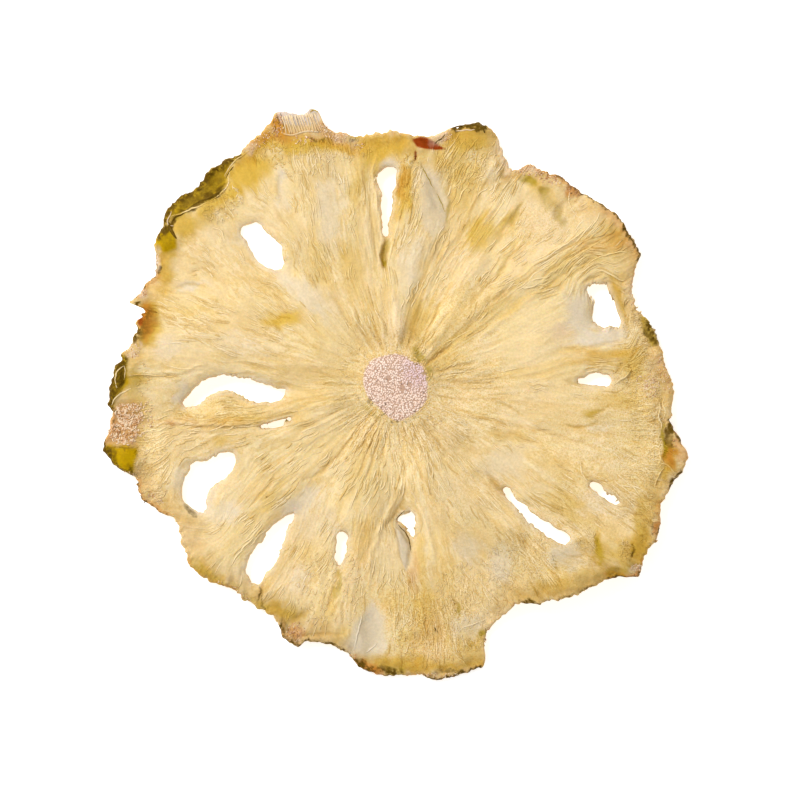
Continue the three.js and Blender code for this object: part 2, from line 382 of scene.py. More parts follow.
def rim_crumple(angle):
    """How far the torn rim stands in or out of its smooth line."""
    turn = (angle / TURN) % 1.0
    middle = np.full_like(turn, 0.5)
    rough = np.full_like(turn, 0.07)
    for seed, cells, height in ((11, 96, 0.30), (12, 210, 0.28), (13, 420, 0.22), (14, 760, 0.13)):
        rough += height * gradient_noise(seed, turn * cells, middle, wrap=cells)
    for spot, half, height in RIM_TUFTS:
        side = half_turn(angle - direction(spot)) * np.hypot(*(place(spot) - CORE))
        rough += height * np.exp(-((side / (half * PIXEL)) ** 2))
    return rough


def slit_guide(loop):
    """A slit's middle direction and half-width in radians, by distance from the core."""
    offset = loop - CORE
    radius = np.hypot(*offset.T)
    base = math.atan2(*offset.mean(0)[::-1])
    side = half_turn(np.arctan2(offset[:, 1], offset[:, 0]) - base)
    steps = np.linspace(radius.min(), radius.max(), 20)
    near = [np.abs(radius - step) < 0.9 for step in steps]
    low = np.array([side[n].min() for n in near])
    high = np.array([side[n].max() for n in near])
    at = np.concatenate(([steps[0] - 2.5], steps, [steps[-1] + 2.0]))
    middle = np.pad((low + high) / 2, 1, mode="edge")
    return base, at, middle, np.pad((high - low) / 2, 1)


GUIDES = [slit_guide(loop) for loop in SLITS]


def opened(angle, radius):
    """Fibres pushed aside by the slits, so that they run along the lips."""
    for base, at, middle, half in GUIDES:
        side = half_turn(angle - base - np.interp(radius, at, middle))
        width = np.interp(radius, at, half)
        reach = 2.6 * half.max()
        soft = 0.16 * half.max()
        pushed = width * side / np.sqrt(side**2 + soft**2) + side * (1 - width / reach)
        angle = angle + np.where(np.abs(side) < reach, pushed - side, 0.0)
    return angle


def flow(turn, share):
    """Where a fibre is: turn is its direction at the core, share how far out it has come.
    Returns its place, its direction and distance from the core's middle, and the rim's."""
    angle = turn * TURN
    ease = smoothstep(0.0, 1.0, share)
    swing = np.zeros_like(turn)
    for degrees, reach, amount in SWINGS:
        gap = (np.degrees(angle) - degrees + 180) % 360 - 180
        swing += math.radians(amount) * np.exp(-((gap / reach) ** 2))
    swing = swing * ease
    swing += 0.028 * fibre_noise(21, turn, share, 24, 3) * smoothstep(0, 0.4, share)
    swing += 0.011 * fibre_noise(22, turn, share, 56, 6) * smoothstep(0, 0.3, share)
    swing += 0.004 * fibre_noise(23, turn, share, 110, 16) * smoothstep(0, 0.3, share)
    angle = angle + swing
    inner = lookup(CORE_RADIUS, angle)
    outer = lookup(RIM_RADIUS, angle) + rim_crumple(angle)
    radius = np.where(share < 0, inner * (1 + share), inner + (outer - inner) * share)
    angle = opened(angle, radius)
    xy = CORE + np.column_stack((np.cos(angle), np.sin(angle))) * radius[:, None]
    return xy, angle, radius, outer


# ---------------------------------------------------------------- creases and ridges

# Each line: where it runs in photo pixels, how deep it is, half-width in mm, how strongly painted shade
# darkens it
CREASES = [
    ([(386, 238), (384, 252), (384, 271)], 0.8, 0.3, 0.9),
    ([(371, 178), (370, 195), (371, 215), (374, 240), (378, 262)], 0.25, 0.22, 0.45),
    ([(362, 168), (365, 182), (367, 192)], 0.3, 0.35, 0.55),
    ([(421, 165), (428, 178), (438, 195), (446, 212), (449, 224)], 0.25, 0.28, 0.35),
    ([(450, 176), (451, 195), (450, 220)], 0.4, 0.55, 0.35),
    ([(415, 151), (415, 161), (411, 172), (408, 190)], 0.25, 0.22, 0.6),
    ([(449, 224), (440, 242), (428, 264), (418, 288), (410, 315), (403, 345)], 0.45, 0.9, 0.3),
    ([(424, 300), (414, 325), (407, 350)], 0.5, 0.6, 0.6),
    ([(440, 302), (432, 322), (424, 340), (415, 354)], 0.3, 0.25, 0.6),
    ([(487, 180), (474, 205), (462, 225), (450, 242)], 0.3, 0.3, 0.4),
    ([(428, 361), (445, 350), (462, 335), (478, 318), (492, 300), (515, 284)], 0.35, 0.5, 0.3),
    ([(424, 366), (438, 356), (452, 345)], 0.5, 0.35, 0.6),
    ([(425, 373), (440, 370), (456, 367), (474, 363)], 0.4, 0.25, 0.5),
    ([(430, 379), (450, 382), (475, 384), (492, 385)], 0.3, 0.3, 0.45),
    ([(366, 352), (355, 335), (345, 318), (334, 298)], 0.35, 0.3, 0.35),
    ([(378, 355), (370, 340), (361, 325), (356, 308)], 0.45, 0.3, 0.5),
    ([(385, 351), (376, 338), (368, 324)], 0.3, 0.2, 0.45),
    ([(382, 414), (371, 430), (361, 446), (352, 456)], 0.4, 0.2, 0.8),
    ([(374, 407), (362, 424), (350, 440), (338, 457), (322, 471), (303, 482)], 0.4, 0.3, 0.45),
    ([(385, 419), (379, 440), (372, 463), (365, 484)], 0.3, 0.22, 0.5),
    ([(392, 421), (386, 440), (378, 462)], 0.25, 0.2, 0.35),
    ([(402, 422), (408, 440), (415, 460), (425, 482), (438, 502)], 0.3, 0.2, 0.45),
    ([(410, 418), (420, 440), (432, 462), (446, 486)], 0.3, 0.2, 0.45),
    ([(418, 413), (430, 430), (441, 446), (456, 463)], 0.3, 0.2, 0.5),
    ([(398, 424), (401, 446), (405, 470), (411, 486)], 0.25, 0.22, 0.3),
    ([(405, 484), (403, 500), (396, 512), (387, 526)], 0.6, 0.35, 0.8),
    ([(398, 512), (403, 507), (408, 505)], 0.3, 0.16, 0.9),
    ([(395, 521), (403, 533), (410, 546), (408, 562), (403, 577)], 0.5, 0.25, 0.7),
    ([(337, 570), (336, 585), (330, 600), (324, 614)], 0.4, 0.4, 0.45),
    ([(487, 472), (496, 484), (504, 494)], 0.7, 0.4, 0.9),
    ([(582, 462), (582, 474), (587, 480), (592, 484)], 0.35, 0.16, 0.8),
    ([(563, 379), (574, 384), (584, 387)], 0.4, 0.4, 0.5),
    ([(616, 361), (628, 362), (633, 374), (628, 388)], 0.4, 0.35, 0.45),
    ([(495, 402), (505, 405), (515, 410), (523, 416)], 0.35, 0.17, 0.95),
    ([(566, 424), (576, 427.5), (584, 428), (592, 425), (600, 421)], 0.4, 0.16, 1.0),
    ([(586, 417), (594, 416), (600, 411), (611, 405)], 0.3, 0.13, 0.8),
    ([(554, 557), (555, 566), (558, 572)], 0.35, 0.15, 0.9),
    ([(561, 552), (570, 557), (579, 556), (588, 548)], 0.3, 0.18, 0.5),
    ([(596, 532), (599, 546), (597, 560)], 0.25, 0.25, 0.5),
    ([(631, 541), (632, 550), (630, 561)], 0.35, 0.18, 1.0),
    ([(616, 374), (620, 368), (623, 363)], 0.4, 0.3, 0.7),
    ([(633, 366), (631, 376), (626, 386)], 0.3, 0.2, 0.7),
    ([(652, 366), (658, 374), (662, 384)], 0.3, 0.2, 0.6),
    ([(662, 400), (661, 420), (660, 445), (656, 470)], 0.3, 0.14, 0.7),
    ([(656, 400), (655, 425), (655, 450)], 0.25, 0.14, 0.5),
    ([(512, 488), (530, 482), (545, 480)], 0.2, 0.12, 0.3),
    ([(490, 421), (520, 428), (546, 431), (575, 441), (602, 448)], 0.35, 0.4, 0.3),
    ([(488, 432), (510, 435), (532, 442)], 0.3, 0.5, 0.35),
    ([(664, 410), (664, 430), (666, 450), (663, 470), (655, 487)], 0.4, 0.35, 0.4),
    ([(521, 206), (511, 222), (500, 238), (491, 252)], 0.4, 0.5, 0.45),
    ([(516, 242), (510, 258), (500, 275), (489, 287)], 0.35, 0.4, 0.4),
    ([(590, 231), (575, 243), (560, 252), (545, 263), (530, 276), (514, 288), (498, 301)], 0.2, 0.2, 0.35),
    ([(622, 253), (602, 254), (586, 262), (570, 270), (555, 281), (540, 293)], 0.22, 0.2, 0.4),
    ([(610, 236), (590, 238), (575, 248), (562, 258)], 0.22, 0.2, 0.4),
    ([(585, 250), (570, 258), (553, 269), (540, 279)], 0.22, 0.2, 0.4),
    ([(583, 284), (590, 278), (600, 276), (603, 270)], 0.4, 0.3, 0.55),
    ([(560, 348), (580, 350), (600, 345), (620, 340)], 0.3, 0.35, 0.35),
    ([(279, 176), (278, 190), (281, 204)], 0.4, 0.35, 0.45),
    ([(274, 206), (283, 222), (293, 236)], 0.2, 0.25, 0.25),
    ([(193, 247), (196, 258), (205, 266), (214, 275)], 0.2, 0.25, 0.25),
    ([(188, 272), (205, 269), (217, 277), (230, 290)], 0.3, 0.3, 0.35),
    ([(175, 288), (184, 285), (193, 284), (206, 288)], 0.45, 0.3, 0.65),
    ([(160, 291), (175, 292), (190, 294)], 0.2, 0.2, 0.2),
    ([(241, 241), (234, 238), (226, 235)], 0.3, 0.3, 0.4),
    ([(205, 338), (216, 349), (232, 359), (250, 366), (275, 371)], 0.3, 0.5, 0.3),
    ([(130, 377), (150, 377), (182, 376)], 0.25, 0.3, 0.25),
    ([(165, 424), (176, 426), (200, 427), (236, 428), (262, 427)], 0.35, 0.25, 0.5),
    ([(182, 406), (184, 396), (193, 385), (202, 377)], 0.15, 0.3, 0.15),
    ([(383, 415), (374, 436), (362, 466), (352, 490)], 0.3, 0.16, 0.55),
    ([(377, 410), (362, 430), (350, 448)], 0.3, 0.14, 0.55),
    ([(389, 421), (384, 445), (380, 470)], 0.25, 0.14, 0.5),
    ([(400, 423), (403, 445), (405, 462)], 0.25, 0.12, 0.45),
    ([(409, 421), (420, 445), (432, 472), (440, 490)], 0.3, 0.16, 0.55),
    ([(416, 414), (430, 432), (444, 450)], 0.25, 0.13, 0.45),
    ([(370, 404), (352, 418), (338, 432)], 0.25, 0.13, 0.45),
    ([(363, 395), (345, 399), (330, 401)], 0.2, 0.12, 0.35),
    ([(376, 355), (366, 338), (360, 325)], 0.25, 0.13, 0.45),
    ([(385, 351), (376, 330), (370, 312)], 0.25, 0.13, 0.45),
    ([(366, 362), (350, 346), (338, 335)], 0.25, 0.13, 0.4),
    ([(396, 350), (393, 330), (392, 315)], 0.2, 0.12, 0.35),
    ([(418, 356), (432, 336), (446, 318), (460, 303)], 0.2, 0.14, 0.35),
    ([(425, 364), (445, 352), (462, 344)], 0.2, 0.12, 0.3),
    ([(429, 377), (448, 374), (466, 372)], 0.2, 0.12, 0.35),
    ([(428, 392), (450, 398), (470, 402)], 0.2, 0.12, 0.3),
    ([(396, 521), (398, 540), (403, 568)], 0.2, 0.12, 0.6),
    ([(399, 523), (406, 531), (411, 545), (409, 560)], 0.3, 0.2, 1.0),
    ([(303, 137), (315, 139.5), (327, 143), (344, 145.5)], 0.4, 0.15, 0.9),
    ([(274, 120), (276, 128), (273, 137)], 0.3, 0.12, 0.9),
    ([(279, 118), (281, 126), (278, 136)], 0.3, 0.12, 0.8),
    ([(250, 506), (259, 497), (268, 488), (276, 474), (286, 464)], 0.3, 0.25, 0.45),
    ([(263, 584), (261, 594), (259, 604)], 0.3, 0.35, 0.7),
    ([(286, 624), (299, 616), (313, 609)], 0.6, 0.5, 0.55),
    ([(292, 640), (301, 635), (321, 634), (346, 634)], 0.4, 0.25, 0.55),
    ([(345, 598), (343, 615), (340, 632)], 0.3, 0.3, 0.35),
    ([(425, 608), (425, 632), (429, 652)], 0.35, 0.35, 0.4),
    ([(455, 598), (457, 611), (459, 622)], 0.5, 0.4, 0.65),
    ([(465, 574), (467, 584)], 0.3, 0.3, 0.4),
    ([(597, 528), (596, 545), (594, 562)], 0.4, 0.5, 0.4),
    ([(615, 531), (620, 520), (631, 513), (646, 515)], 0.4, 0.3, 0.35),
    ([(494, 181), (505, 177), (517, 177)], 0.4, 0.35, 0.5),
    ([(640, 338), (634, 352), (632, 362)], 0.2, 0.3, 0.3),
    ([(450, 398), (470, 400), (496, 398)], 0.2, 0.3, 0.2),
    ([(300, 430), (322, 420), (345, 408), (362, 398)], 0.2, 0.22, 0.25),
    ([(305, 372), (330, 376), (356, 380)], 0.2, 0.22, 0.25),
]

# Raised bundles, in the same way, with how much they are lightened: paler colour and a painted highlight
RIDGES = [
    ([(394, 296), (396, 320), (397, 346)], 0.8, 0.9, 0.8),
    ([(500, 153), (488, 174), (476, 200), (464, 222), (451, 242), (438, 262)], 0.4, 0.35, 0.5),
    ([(592, 226), (575, 238), (556, 249), (538, 262), (520, 276)], 0.3, 0.25, 0.5),
    ([(600, 246), (583, 254), (566, 264), (548, 276), (532, 290)], 0.28, 0.22, 0.5),
    ([(376, 153), (373, 175), (376, 200), (380, 225), (383, 247)], 0.35, 0.25, 0.6),
    ([(388, 262), (392, 244), (397, 225), (403, 204)], 0.35, 0.25, 0.5),
    ([(580, 461), (582, 472), (589, 482), (599, 492)], 0.4, 0.2, 0.7),
    ([(612, 385), (622, 377), (632, 368)], 0.5, 0.3, 0.7),
    ([(394, 598), (396, 628), (400, 656)], 0.3, 0.25, 0.5),
    ([(420, 596), (424, 630), (431, 656)], 0.3, 0.3, 0.4),
    ([(441, 598), (445, 630), (456, 655)], 0.35, 0.3, 0.5),
    ([(406, 486), (418, 506), (428, 530), (434, 556)], 0.45, 0.4, 0.5),
    ([(401, 486), (392, 505), (382, 525), (372, 552), (368, 590)], 0.4, 0.4, 0.4),
    ([(128, 375), (150, 373), (180, 372), (205, 364)], 0.3, 0.25, 0.5),
    ([(160, 340), (168, 348), (176, 356)], 0.25, 0.2, 0.4),
    ([(168, 420), (190, 424), (225, 424), (258, 424)], 0.3, 0.25, 0.4),
    ([(240, 156), (231, 166), (228, 180), (222, 190), (205, 200), (188, 209), (168, 217)], 0.5, 0.22, 0.9),
    ([(610, 268), (618, 282), (626, 302)], 0.4, 0.25, 0.6),
    ([(622, 342), (606, 346), (590, 352)], 0.25, 0.25, 0.4),
    ([(560, 440), (540, 432), (515, 425)], 0.2, 0.3, 0.3),
    ([(318, 612), (323, 590), (318, 570), (312, 555)], 0.3, 0.3, 0.4),
    ([(270, 480), (288, 462), (312, 446)], 0.2, 0.25, 0.3),
    ([(478, 340), (500, 322), (525, 302), (552, 286)], 0.4, 0.6, 0.3),
    ([(398, 663), (425, 664), (452, 661), (478, 653)], 0.1, 0.6, 0.9),
    ([(432, 655), (447, 662), (455, 669)], 0.25, 0.2, 0.8),
    ([(418, 648), (424, 658), (426, 668)], 0.25, 0.2, 0.8),
]


def wandering(xy, reach=0.25):
    """Points moved about a little, so that drawn lines and patches get natural edges."""
    shift = np.column_stack((plane_noise(31, xy, 2.2), plane_noise(32, xy, 2.2)))
    fine = np.column_stack((plane_noise(33, xy, 0.8), plane_noise(34, xy, 0.8)))
    return xy + reach * shift + 0.35 * reach * fine


def drawn_lines(xy, lines):
    """Height that a list of drawn lines adds at each point, and the strength of its painted shade (for
    creases) and painted highlight (for ridges).
    """
    height = np.zeros(len(xy))
    shade = np.zeros(len(xy))
    moved = wandering(xy)
    for points, depth, width, strength in lines:
        path = place(points)
        near = np.flatnonzero(
            (moved > path.min(0) - 4 * width).all(1) & (moved < path.max(0) + 4 * width).all(1)
        )
        gap, along = line_distance(moved[near], path)
        taper = tapered(along)
        bell = np.exp(-((gap / (width * (0.45 + 0.55 * taper))) ** 2)) * (0.35 + 0.65 * taper)
        height[near] += depth * bell
        shade[near] = np.maximum(shade[near], strength * bell)
    return height, shade


# ---------------------------------------------------------------- patches of colour

# Soft patches by kind: centre x and y in photo pixels, half-sizes in pixels along and across,
# turn in degrees, strength
PATCHES = {
    "gold": [
        (252, 168, 26, 20, 20, 0.95), (215, 203, 24, 9, 30, 0.9), (315, 146, 36, 7, 0, 0.9),
        (372, 152, 14, 22, 20, 0.85), (396, 144, 26, 10, 0, 0.85), (404, 190, 8, 32, 0, 0.9),
        (472, 138, 26, 16, 0, 0.9), (462, 185, 14, 38, 8, 0.4), (352, 272, 16, 34, 10, 0.45),
        (282, 321, 20, 9, 10, 0.95), (480, 232, 18, 18, 0, 0.8), (510, 222, 8, 22, -35, 0.7),
        (498, 275, 8, 16, -30, 0.05), (604, 246, 34, 20, 0, 0.4), (440, 320, 34, 16, 50, 0.25),
        (418, 325, 14, 28, -14, 0.5), (490, 318, 40, 9, 36, 0.35), (452, 345, 28, 7, 35, 0.4),
        (540, 370, 38, 8, 5, 0.2), (604, 357, 28, 7, 5, 0.55), (508, 437, 26, 6, -8, 0.35),
        (592, 412, 14, 6, 25, 0.5), (225, 412, 66, 12, 0, 0.3), (219, 440, 11, 5, 0, 0.6),
        (192, 311, 18, 6, 5, 0.45), (425, 665, 64, 9, 0, 0.8), (452, 665, 30, 8, 8, 0.25),
        (420, 600, 38, 16, 0, 0.25), (330, 170, 14, 10, 0, 0.2), (448, 642, 4, 18, 0, 0.4),
        (388, 652, 3, 14, 0, 0.4), (412, 648, 3, 16, 0, 0.4), (434, 646, 3, 16, 0, 0.4),
        (462, 650, 3, 12, 0, 0.4), (560, 272, 24, 12, 30, 0.3), (142, 432, 8, 14, 0, 0.4),
        (235, 420, 30, 5, 0, 0.3), (396, 151, 26, 8, 0, 0.5), (320, 149, 28, 5, 0, 0.6),
        (184, 240, 10, 9, 0, 0.45), (462, 176, 10, 18, -14, 0.6), (215, 184, 10, 8, 0, 0.3),
        (474, 645, 12, 20, 0, 0.75), (342, 640, 10, 16, -20, 0.5), (334, 596, 6, 22, -12, 0.35),
        (362, 537, 12, 26, -10, 0.3), (421, 556, 8, 26, 0, 0.5), (570, 583, 52, 12, 14, 0.6),
        (597, 544, 5, 18, 0, 0.9), (640, 552, 8, 10, 0, 0.6), (583, 543, 9, 8, 0, 0.4),
        (670, 446, 7, 16, 0, 0.8), (664, 474, 5, 8, 0, 0.8), (570, 510, 30, 12, -35, 0.5),
        (205, 570, 26, 8, -38, 0.75), (280, 612, 22, 8, -18, 0.9), (662, 470, 8, 14, 0, 0.3),
        (606, 552, 12, 14, 0, 0.5), (222, 540, 24, 20, 0, 0.1), (268, 500, 26, 8, 45, 0.4),
        (640, 430, 14, 40, 0, 0.15), (655, 500, 10, 24, 0, 0.45), (634, 290, 8, 34, -5, 0.25),
        (618, 285, 8, 18, -20, 0.35), (640, 545, 12, 18, 0, 0.8), (330, 345, 36, 20, -33, 0.2),
        (355, 186, 6, 22, 0, 0.5), (281, 126, 9, 12, 0, 0.9), (326, 144, 32, 6, -8, 0.9),
        (455, 203, 4, 16, -20, 0.4), (440, 320, 34, 14, 50, 0.2), (620, 300, 3, 26, 20, 0.7),
        (230, 310, 60, 24, -20, 0.1), (445, 560, 14, 40, 0, 0.15), (360, 470, 20, 40, -20, 0.15),
        (300, 390, 40, 20, 0, 0.2), (425, 615, 10, 40, 0, 0.45), (545, 196, 26, 9, -45, 0.5),
        (247, 172, 16, 20, 0, 0.95), (232, 195, 8, 8, 0, 0.9), (264, 140, 20, 11, 38, 0.95),
        (284, 143, 16, 10, 0, 0.8), (282, 160, 10, 10, 0, 0.4), (182, 224, 16, 14, -35, 0.9),
        (202, 220, 14, 10, 0, 0.55), (166, 262, 8, 30, -5, 0.8), (164, 285, 8, 16, 0, 0.35),
        (632, 362, 18, 16, 0, 0.65), (640, 390, 12, 18, 0, 0.25), (620, 400, 24, 8, 0, 0.6),
        (440, 362, 22, 10, 20, 0.45), (320, 260, 14, 36, 10, 0.35), (300, 420, 20, 10, 0, 0.25),
        (140, 380, 12, 8, 0, 0.6), (140, 405, 10, 12, 0, 0.5), (669, 454, 7, 18, 8, 0.95),
        (642, 520, 8, 26, 0, 0.7), (625, 555, 14, 14, 0, 0.7), (440, 160, 8, 14, 0, 0.5),
        (420, 160, 8, 10, 0, 0.5), (480, 180, 10, 12, 0, 0.4), (612, 232, 16, 8, -50, 0.3),
        (395, 662, 24, 8, 0, 0.6), (402, 640, 6, 14, 0, 0.5), (560, 262, 16, 8, 30, 0.3),
        (153, 325, 7, 24, 4, 0.8),
    ],
    # Paler flesh, and in places painted light that lifts the relief's own shade
    "bright": [
        (535, 322, 40, 20, 20, 0.9), (520, 352, 34, 16, 10, 0.6), (500, 250, 12, 20, -30, 0.6),
        (523, 228, 10, 22, -30, 0.4), (578, 282, 14, 10, 0, 0.6), (340, 360, 18, 14, -20, 0.35),
        (200, 305, 34, 18, -10, 0.45), (185, 325, 18, 10, 0, 0.45), (545, 445, 34, 10, -5, 0.4),
        (402, 468, 20, 22, 0, 0.9), (385, 485, 10, 16, 0, 0.4), (225, 542, 24, 14, 0, 0.4),
        (240, 222, 14, 10, 0, 0.6), (160, 395, 14, 16, 0, 0.6), (154, 438, 10, 22, 0, 0.9),
        (195, 385, 14, 10, 30, 0.9), (340, 500, 12, 22, -10, 0.5), (325, 540, 14, 18, 0, 0.5),
        (340, 590, 14, 16, 0, 0.4), (460, 582, 14, 10, 0, 0.3), (585, 470, 18, 12, 0, 0.4),
        (590, 495, 14, 12, 0, 0.4), (365, 620, 14, 12, 0, 0.2), (655, 360, 8, 12, 0, 0.3),
        (590, 212, 16, 10, -40, 0.5), (681, 461, 3, 7, 20, 0.6), (215, 409, 40, 5, 0, 0.4),
        (560, 316, 16, 26, 0, 1.0), (440, 650, 44, 7, 0, 0.4), (315, 151, 14, 5, 0, 0.4),
        (400, 446, 24, 10, 0, 0.6), (400, 461, 20, 10, 0, 0.5), (500, 200, 10, 12, 0, 0.4),
        (450, 659, 22, 6, 0, 0.4), (630, 290, 6, 14, -8, 0.8), (540, 370, 20, 8, 0, 0.3),
        (642, 402, 8, 14, 0, 0.5), (160, 478, 12, 22, 0, 0.5), (150, 440, 8, 16, 0, 0.5),
        (190, 556, 12, 9, -40, 0.7), (240, 520, 14, 10, 0, 0.4), (640, 300, 4, 20, 0, 0.4),
        (440, 318, 9, 26, -36, 0.75), (500, 272, 8, 20, -38, 0.6), (462, 182, 8, 22, -16, 0.4),
    ],
    "pale": [
        (480, 575, 24, 24, 0, 0.35), (200, 535, 26, 18, 0, 0.4), (160, 478, 14, 20, 0, 0.4),
        (475, 495, 26, 16, -50, 0.4), (352, 572, 12, 14, 0, 0.4), (545, 222, 34, 24, -40, 0.6),
        (537, 222, 20, 18, 0, 0.4), (190, 545, 14, 12, 0, 0.4), (560, 330, 12, 9, 0, 0.9),
        (631, 288, 4, 10, -14, 0.8), (584, 212, 12, 20, 10, 0.4), (190, 326, 24, 12, 0, 0.3),
        (170, 350, 18, 10, 20, 0.6), (294, 580, 20, 20, 0, 0.8), (562, 334, 16, 12, 0, 0.7),
        (652, 368, 8, 14, 0, 0.5), (395, 322, 7, 30, -3, 0.9), (520, 262, 8, 30, -25, 0.5),
        (305, 520, 12, 40, -25, 0.5), (325, 300, 8, 26, 40, 0.5), (306, 625, 14, 6, 10, 0.5),
        (500, 160, 8, 20, 20, 0.4), (350, 565, 20, 30, 0, 0.25), (610, 515, 26, 10, 0, 0.4),
        (408, 410, 56, 56, 0, 0.3), (570, 400, 60, 18, 0, 0.25), (650, 386, 9, 11, 0, 0.5),
    ],
    "veil": [
        (280, 188, 3.5, 20, -4, 0.9), (286, 196, 4, 14, 0, 0.4), (331, 205, 14, 46, 0, 0.5),
        (390, 164, 8, 7, 0, 0.8), (436, 196, 11, 30, 22, 0.35), (576, 563, 10, 8, 0, 0.4),
        (410, 262, 14, 36, -10, 0.5), (581, 318, 15, 28, 10, 0.85), (584, 296, 8, 12, 0, 0.4),
        (598, 337, 28, 8, 10, 0.9), (206, 492, 9, 18, -30, 0.5), (222, 512, 26, 12, 0, 0.6),
        (304, 502, 20, 12, 35, 0.7), (352, 645, 14, 10, 0, 0.5), (466, 548, 16, 14, 0, 0.55),
        (500, 566, 12, 20, 0, 0.6), (500, 466, 24, 16, 10, 0.35), (180, 393, 5, 16, -30, 0.7),
        (308, 296, 9, 34, 40, 0.6), (596, 428, 14, 4, 0, 0.4), (488, 176, 12, 7, 20, 0.3),
        (168, 348, 18, 10, 20, 0.4), (238, 345, 40, 12, -15, 0.35), (192, 285, 14, 4, 0, 0.8),
        (470, 628, 16, 12, 0, 0.5), (240, 240, 14, 5, -10, 0.5), (178, 480, 10, 16, 0, 0.5),
        (596, 505, 16, 12, 0, 0.4), (285, 279, 14, 8, -30, 0.6), (300, 580, 12, 12, 0, 0.3),
        (290, 505, 12, 10, 0, 0.5), (562, 554, 20, 9, 10, 0.7), (320, 525, 22, 16, 0, 0.35),
        (260, 380, 14, 6, 0, 0.4),
    ],
    # Painted shade in hollows and folds, which also gives a duller tan tone of the flesh
    "shade": [
        (290, 124, 26, 13, 0, 0.6), (340, 140, 14, 8, -20, 0.3), (265, 140, 18, 10, 38, 0.3),
        (280, 185, 4, 14, 0, 0.4), (330, 164, 22, 14, 0, 0.2), (356, 190, 12, 14, 0, 0.35),
        (350, 240, 16, 30, 0, 0.2), (362, 180, 10, 16, 0, 0.2), (440, 185, 8, 16, 20, 0.35),
        (436, 205, 10, 22, 22, 0.3), (505, 182, 16, 12, -20, 0.42), (555, 195, 18, 8, -40, 0.25),
        (552, 206, 20, 5, -52, 0.6), (562, 217, 5, 12, 10, 0.9), (560, 232, 8, 12, 0, 0.2),
        (300, 123, 24, 10, 0, 0.35), (570, 563, 14, 9, 0, 0.4), (280, 604, 16, 8, -20, 0.4),
        (600, 418, 18, 12, 0, 0.45), (592, 413, 12, 5, 25, 0.3), (180, 226, 18, 14, -40, 0.4),
        (168, 260, 12, 30, -5, 0.5), (205, 215, 12, 8, 30, 0.3), (298, 245, 10, 38, 20, 0.36),
        (330, 308, 14, 22, 38, 0.42), (365, 328, 18, 14, 40, 0.28), (400, 338, 24, 8, 0, 0.25),
        (440, 260, 8, 12, 0, 0.3), (400, 265, 8, 10, 0, 0.25), (145, 300, 14, 10, 0, 0.5),
        (150, 335, 8, 24, 5, 0.35), (145, 365, 10, 10, 0, 0.3), (228, 362, 16, 6, -15, 0.2),
        (456, 371, 32, 20, 0, 0.28), (620, 335, 14, 10, 0, 0.3), (630, 368, 16, 18, 0, 0.35),
        (622, 387, 12, 12, 0, 0.45), (615, 402, 18, 8, 0, 0.25), (662, 382, 8, 14, 0, 0.4),
        (660, 430, 6, 24, 0, 0.3), (120, 402, 12, 10, 0, 0.2), (136, 380, 10, 18, 0, 0.35),
        (444, 212, 5, 12, 10, 0.3), (282, 425, 18, 8, 0, 0.28), (265, 442, 26, 9, 0, 0.33),
        (300, 448, 16, 6, 0, 0.25), (240, 470, 10, 14, 0, 0.45), (270, 470, 16, 16, 0, 0.28),
        (315, 482, 16, 8, 35, 0.26), (360, 470, 8, 18, -10, 0.25), (460, 485, 14, 16, 30, 0.33),
        (500, 482, 8, 6, 0, 0.27), (462, 505, 10, 8, 0, 0.33), (525, 502, 12, 6, -35, 0.3),
        (140, 485, 10, 14, -30, 0.1), (190, 522, 22, 8, -20, 0.3), (220, 505, 10, 8, 0, 0.4),
        (240, 495, 14, 10, 0, 0.28), (278, 500, 12, 10, 40, 0.28), (622, 500, 16, 10, 0, 0.4),
        (440, 520, 12, 12, 0, 0.25), (478, 540, 20, 34, 0, 0.6), (462, 450, 16, 12, 0, 0.4),
        (512, 540, 22, 20, 0, 0.6), (515, 565, 24, 20, -20, 0.33), (500, 590, 10, 16, 0, 0.38),
        (535, 580, 16, 10, 0, 0.45), (566, 559, 22, 13, 10, 0.9), (590, 550, 18, 14, 0, 0.8),
        (610, 552, 10, 12, 0, 0.5), (580, 563, 14, 6, 10, 0.5), (615, 545, 14, 20, 0, 0.5),
        (640, 528, 8, 24, 0, 0.4), (638, 560, 10, 12, 0, 0.4), (602, 566, 20, 8, 10, 0.4),
        (302, 520, 8, 24, -20, 0.3), (280, 565, 10, 18, -20, 0.45), (286, 615, 24, 14, -20, 0.85),
        (318, 640, 14, 8, 0, 0.4), (300, 600, 14, 8, 0, 0.25), (374, 636, 20, 20, 0, 0.35),
        (370, 660, 16, 8, -20, 0.4), (472, 645, 14, 22, 0, 0.15), (330, 205, 14, 40, 0, 0.2),
        (418, 325, 8, 24, -14, 0.35), (345, 385, 18, 40, 0, 0.45), (385, 340, 40, 14, 0, 0.35),
        (570, 584, 46, 10, 14, 0.5), (440, 602, 12, 24, 0, 0.2), (455, 320, 8, 30, -40, 0.1),
    ],
    "smooth": [
        (532, 338, 42, 28, 15, 0.9), (545, 220, 34, 22, -40, 0.25), (590, 585, 40, 10, 14, 0.8),
        (605, 545, 7, 16, 0, 0.7), (640, 552, 7, 12, 0, 0.7), (560, 200, 20, 8, -40, 0.6),
        (300, 240, 12, 40, 20, 0.4), (340, 500, 12, 30, -10, 0.4), (222, 545, 26, 22, 0, 0.5),
        (390, 500, 14, 20, 0, 0.4), (455, 320, 30, 20, 50, 0.5), (160, 392, 16, 18, 0, 0.5),
        (545, 440, 30, 14, 0, 0.3),
    ],
    "grit": [
        (395, 387, 66, 66, 0, 1.0), (470, 390, 50, 50, 0, 0.9), (465, 315, 40, 34, 40, 0.8),
        (430, 625, 70, 50, 0, 1.0), (640, 430, 34, 110, 0, 1.0), (472, 160, 34, 30, 0, 0.5),
        (395, 430, 60, 40, 0, 0.7), (545, 555, 60, 40, 0, 0.9), (590, 510, 40, 30, 0, 0.6),
        (190, 450, 60, 70, 0, 0.4), (330, 560, 60, 60, 0, 0.4), (230, 410, 70, 14, 0, 0.5),
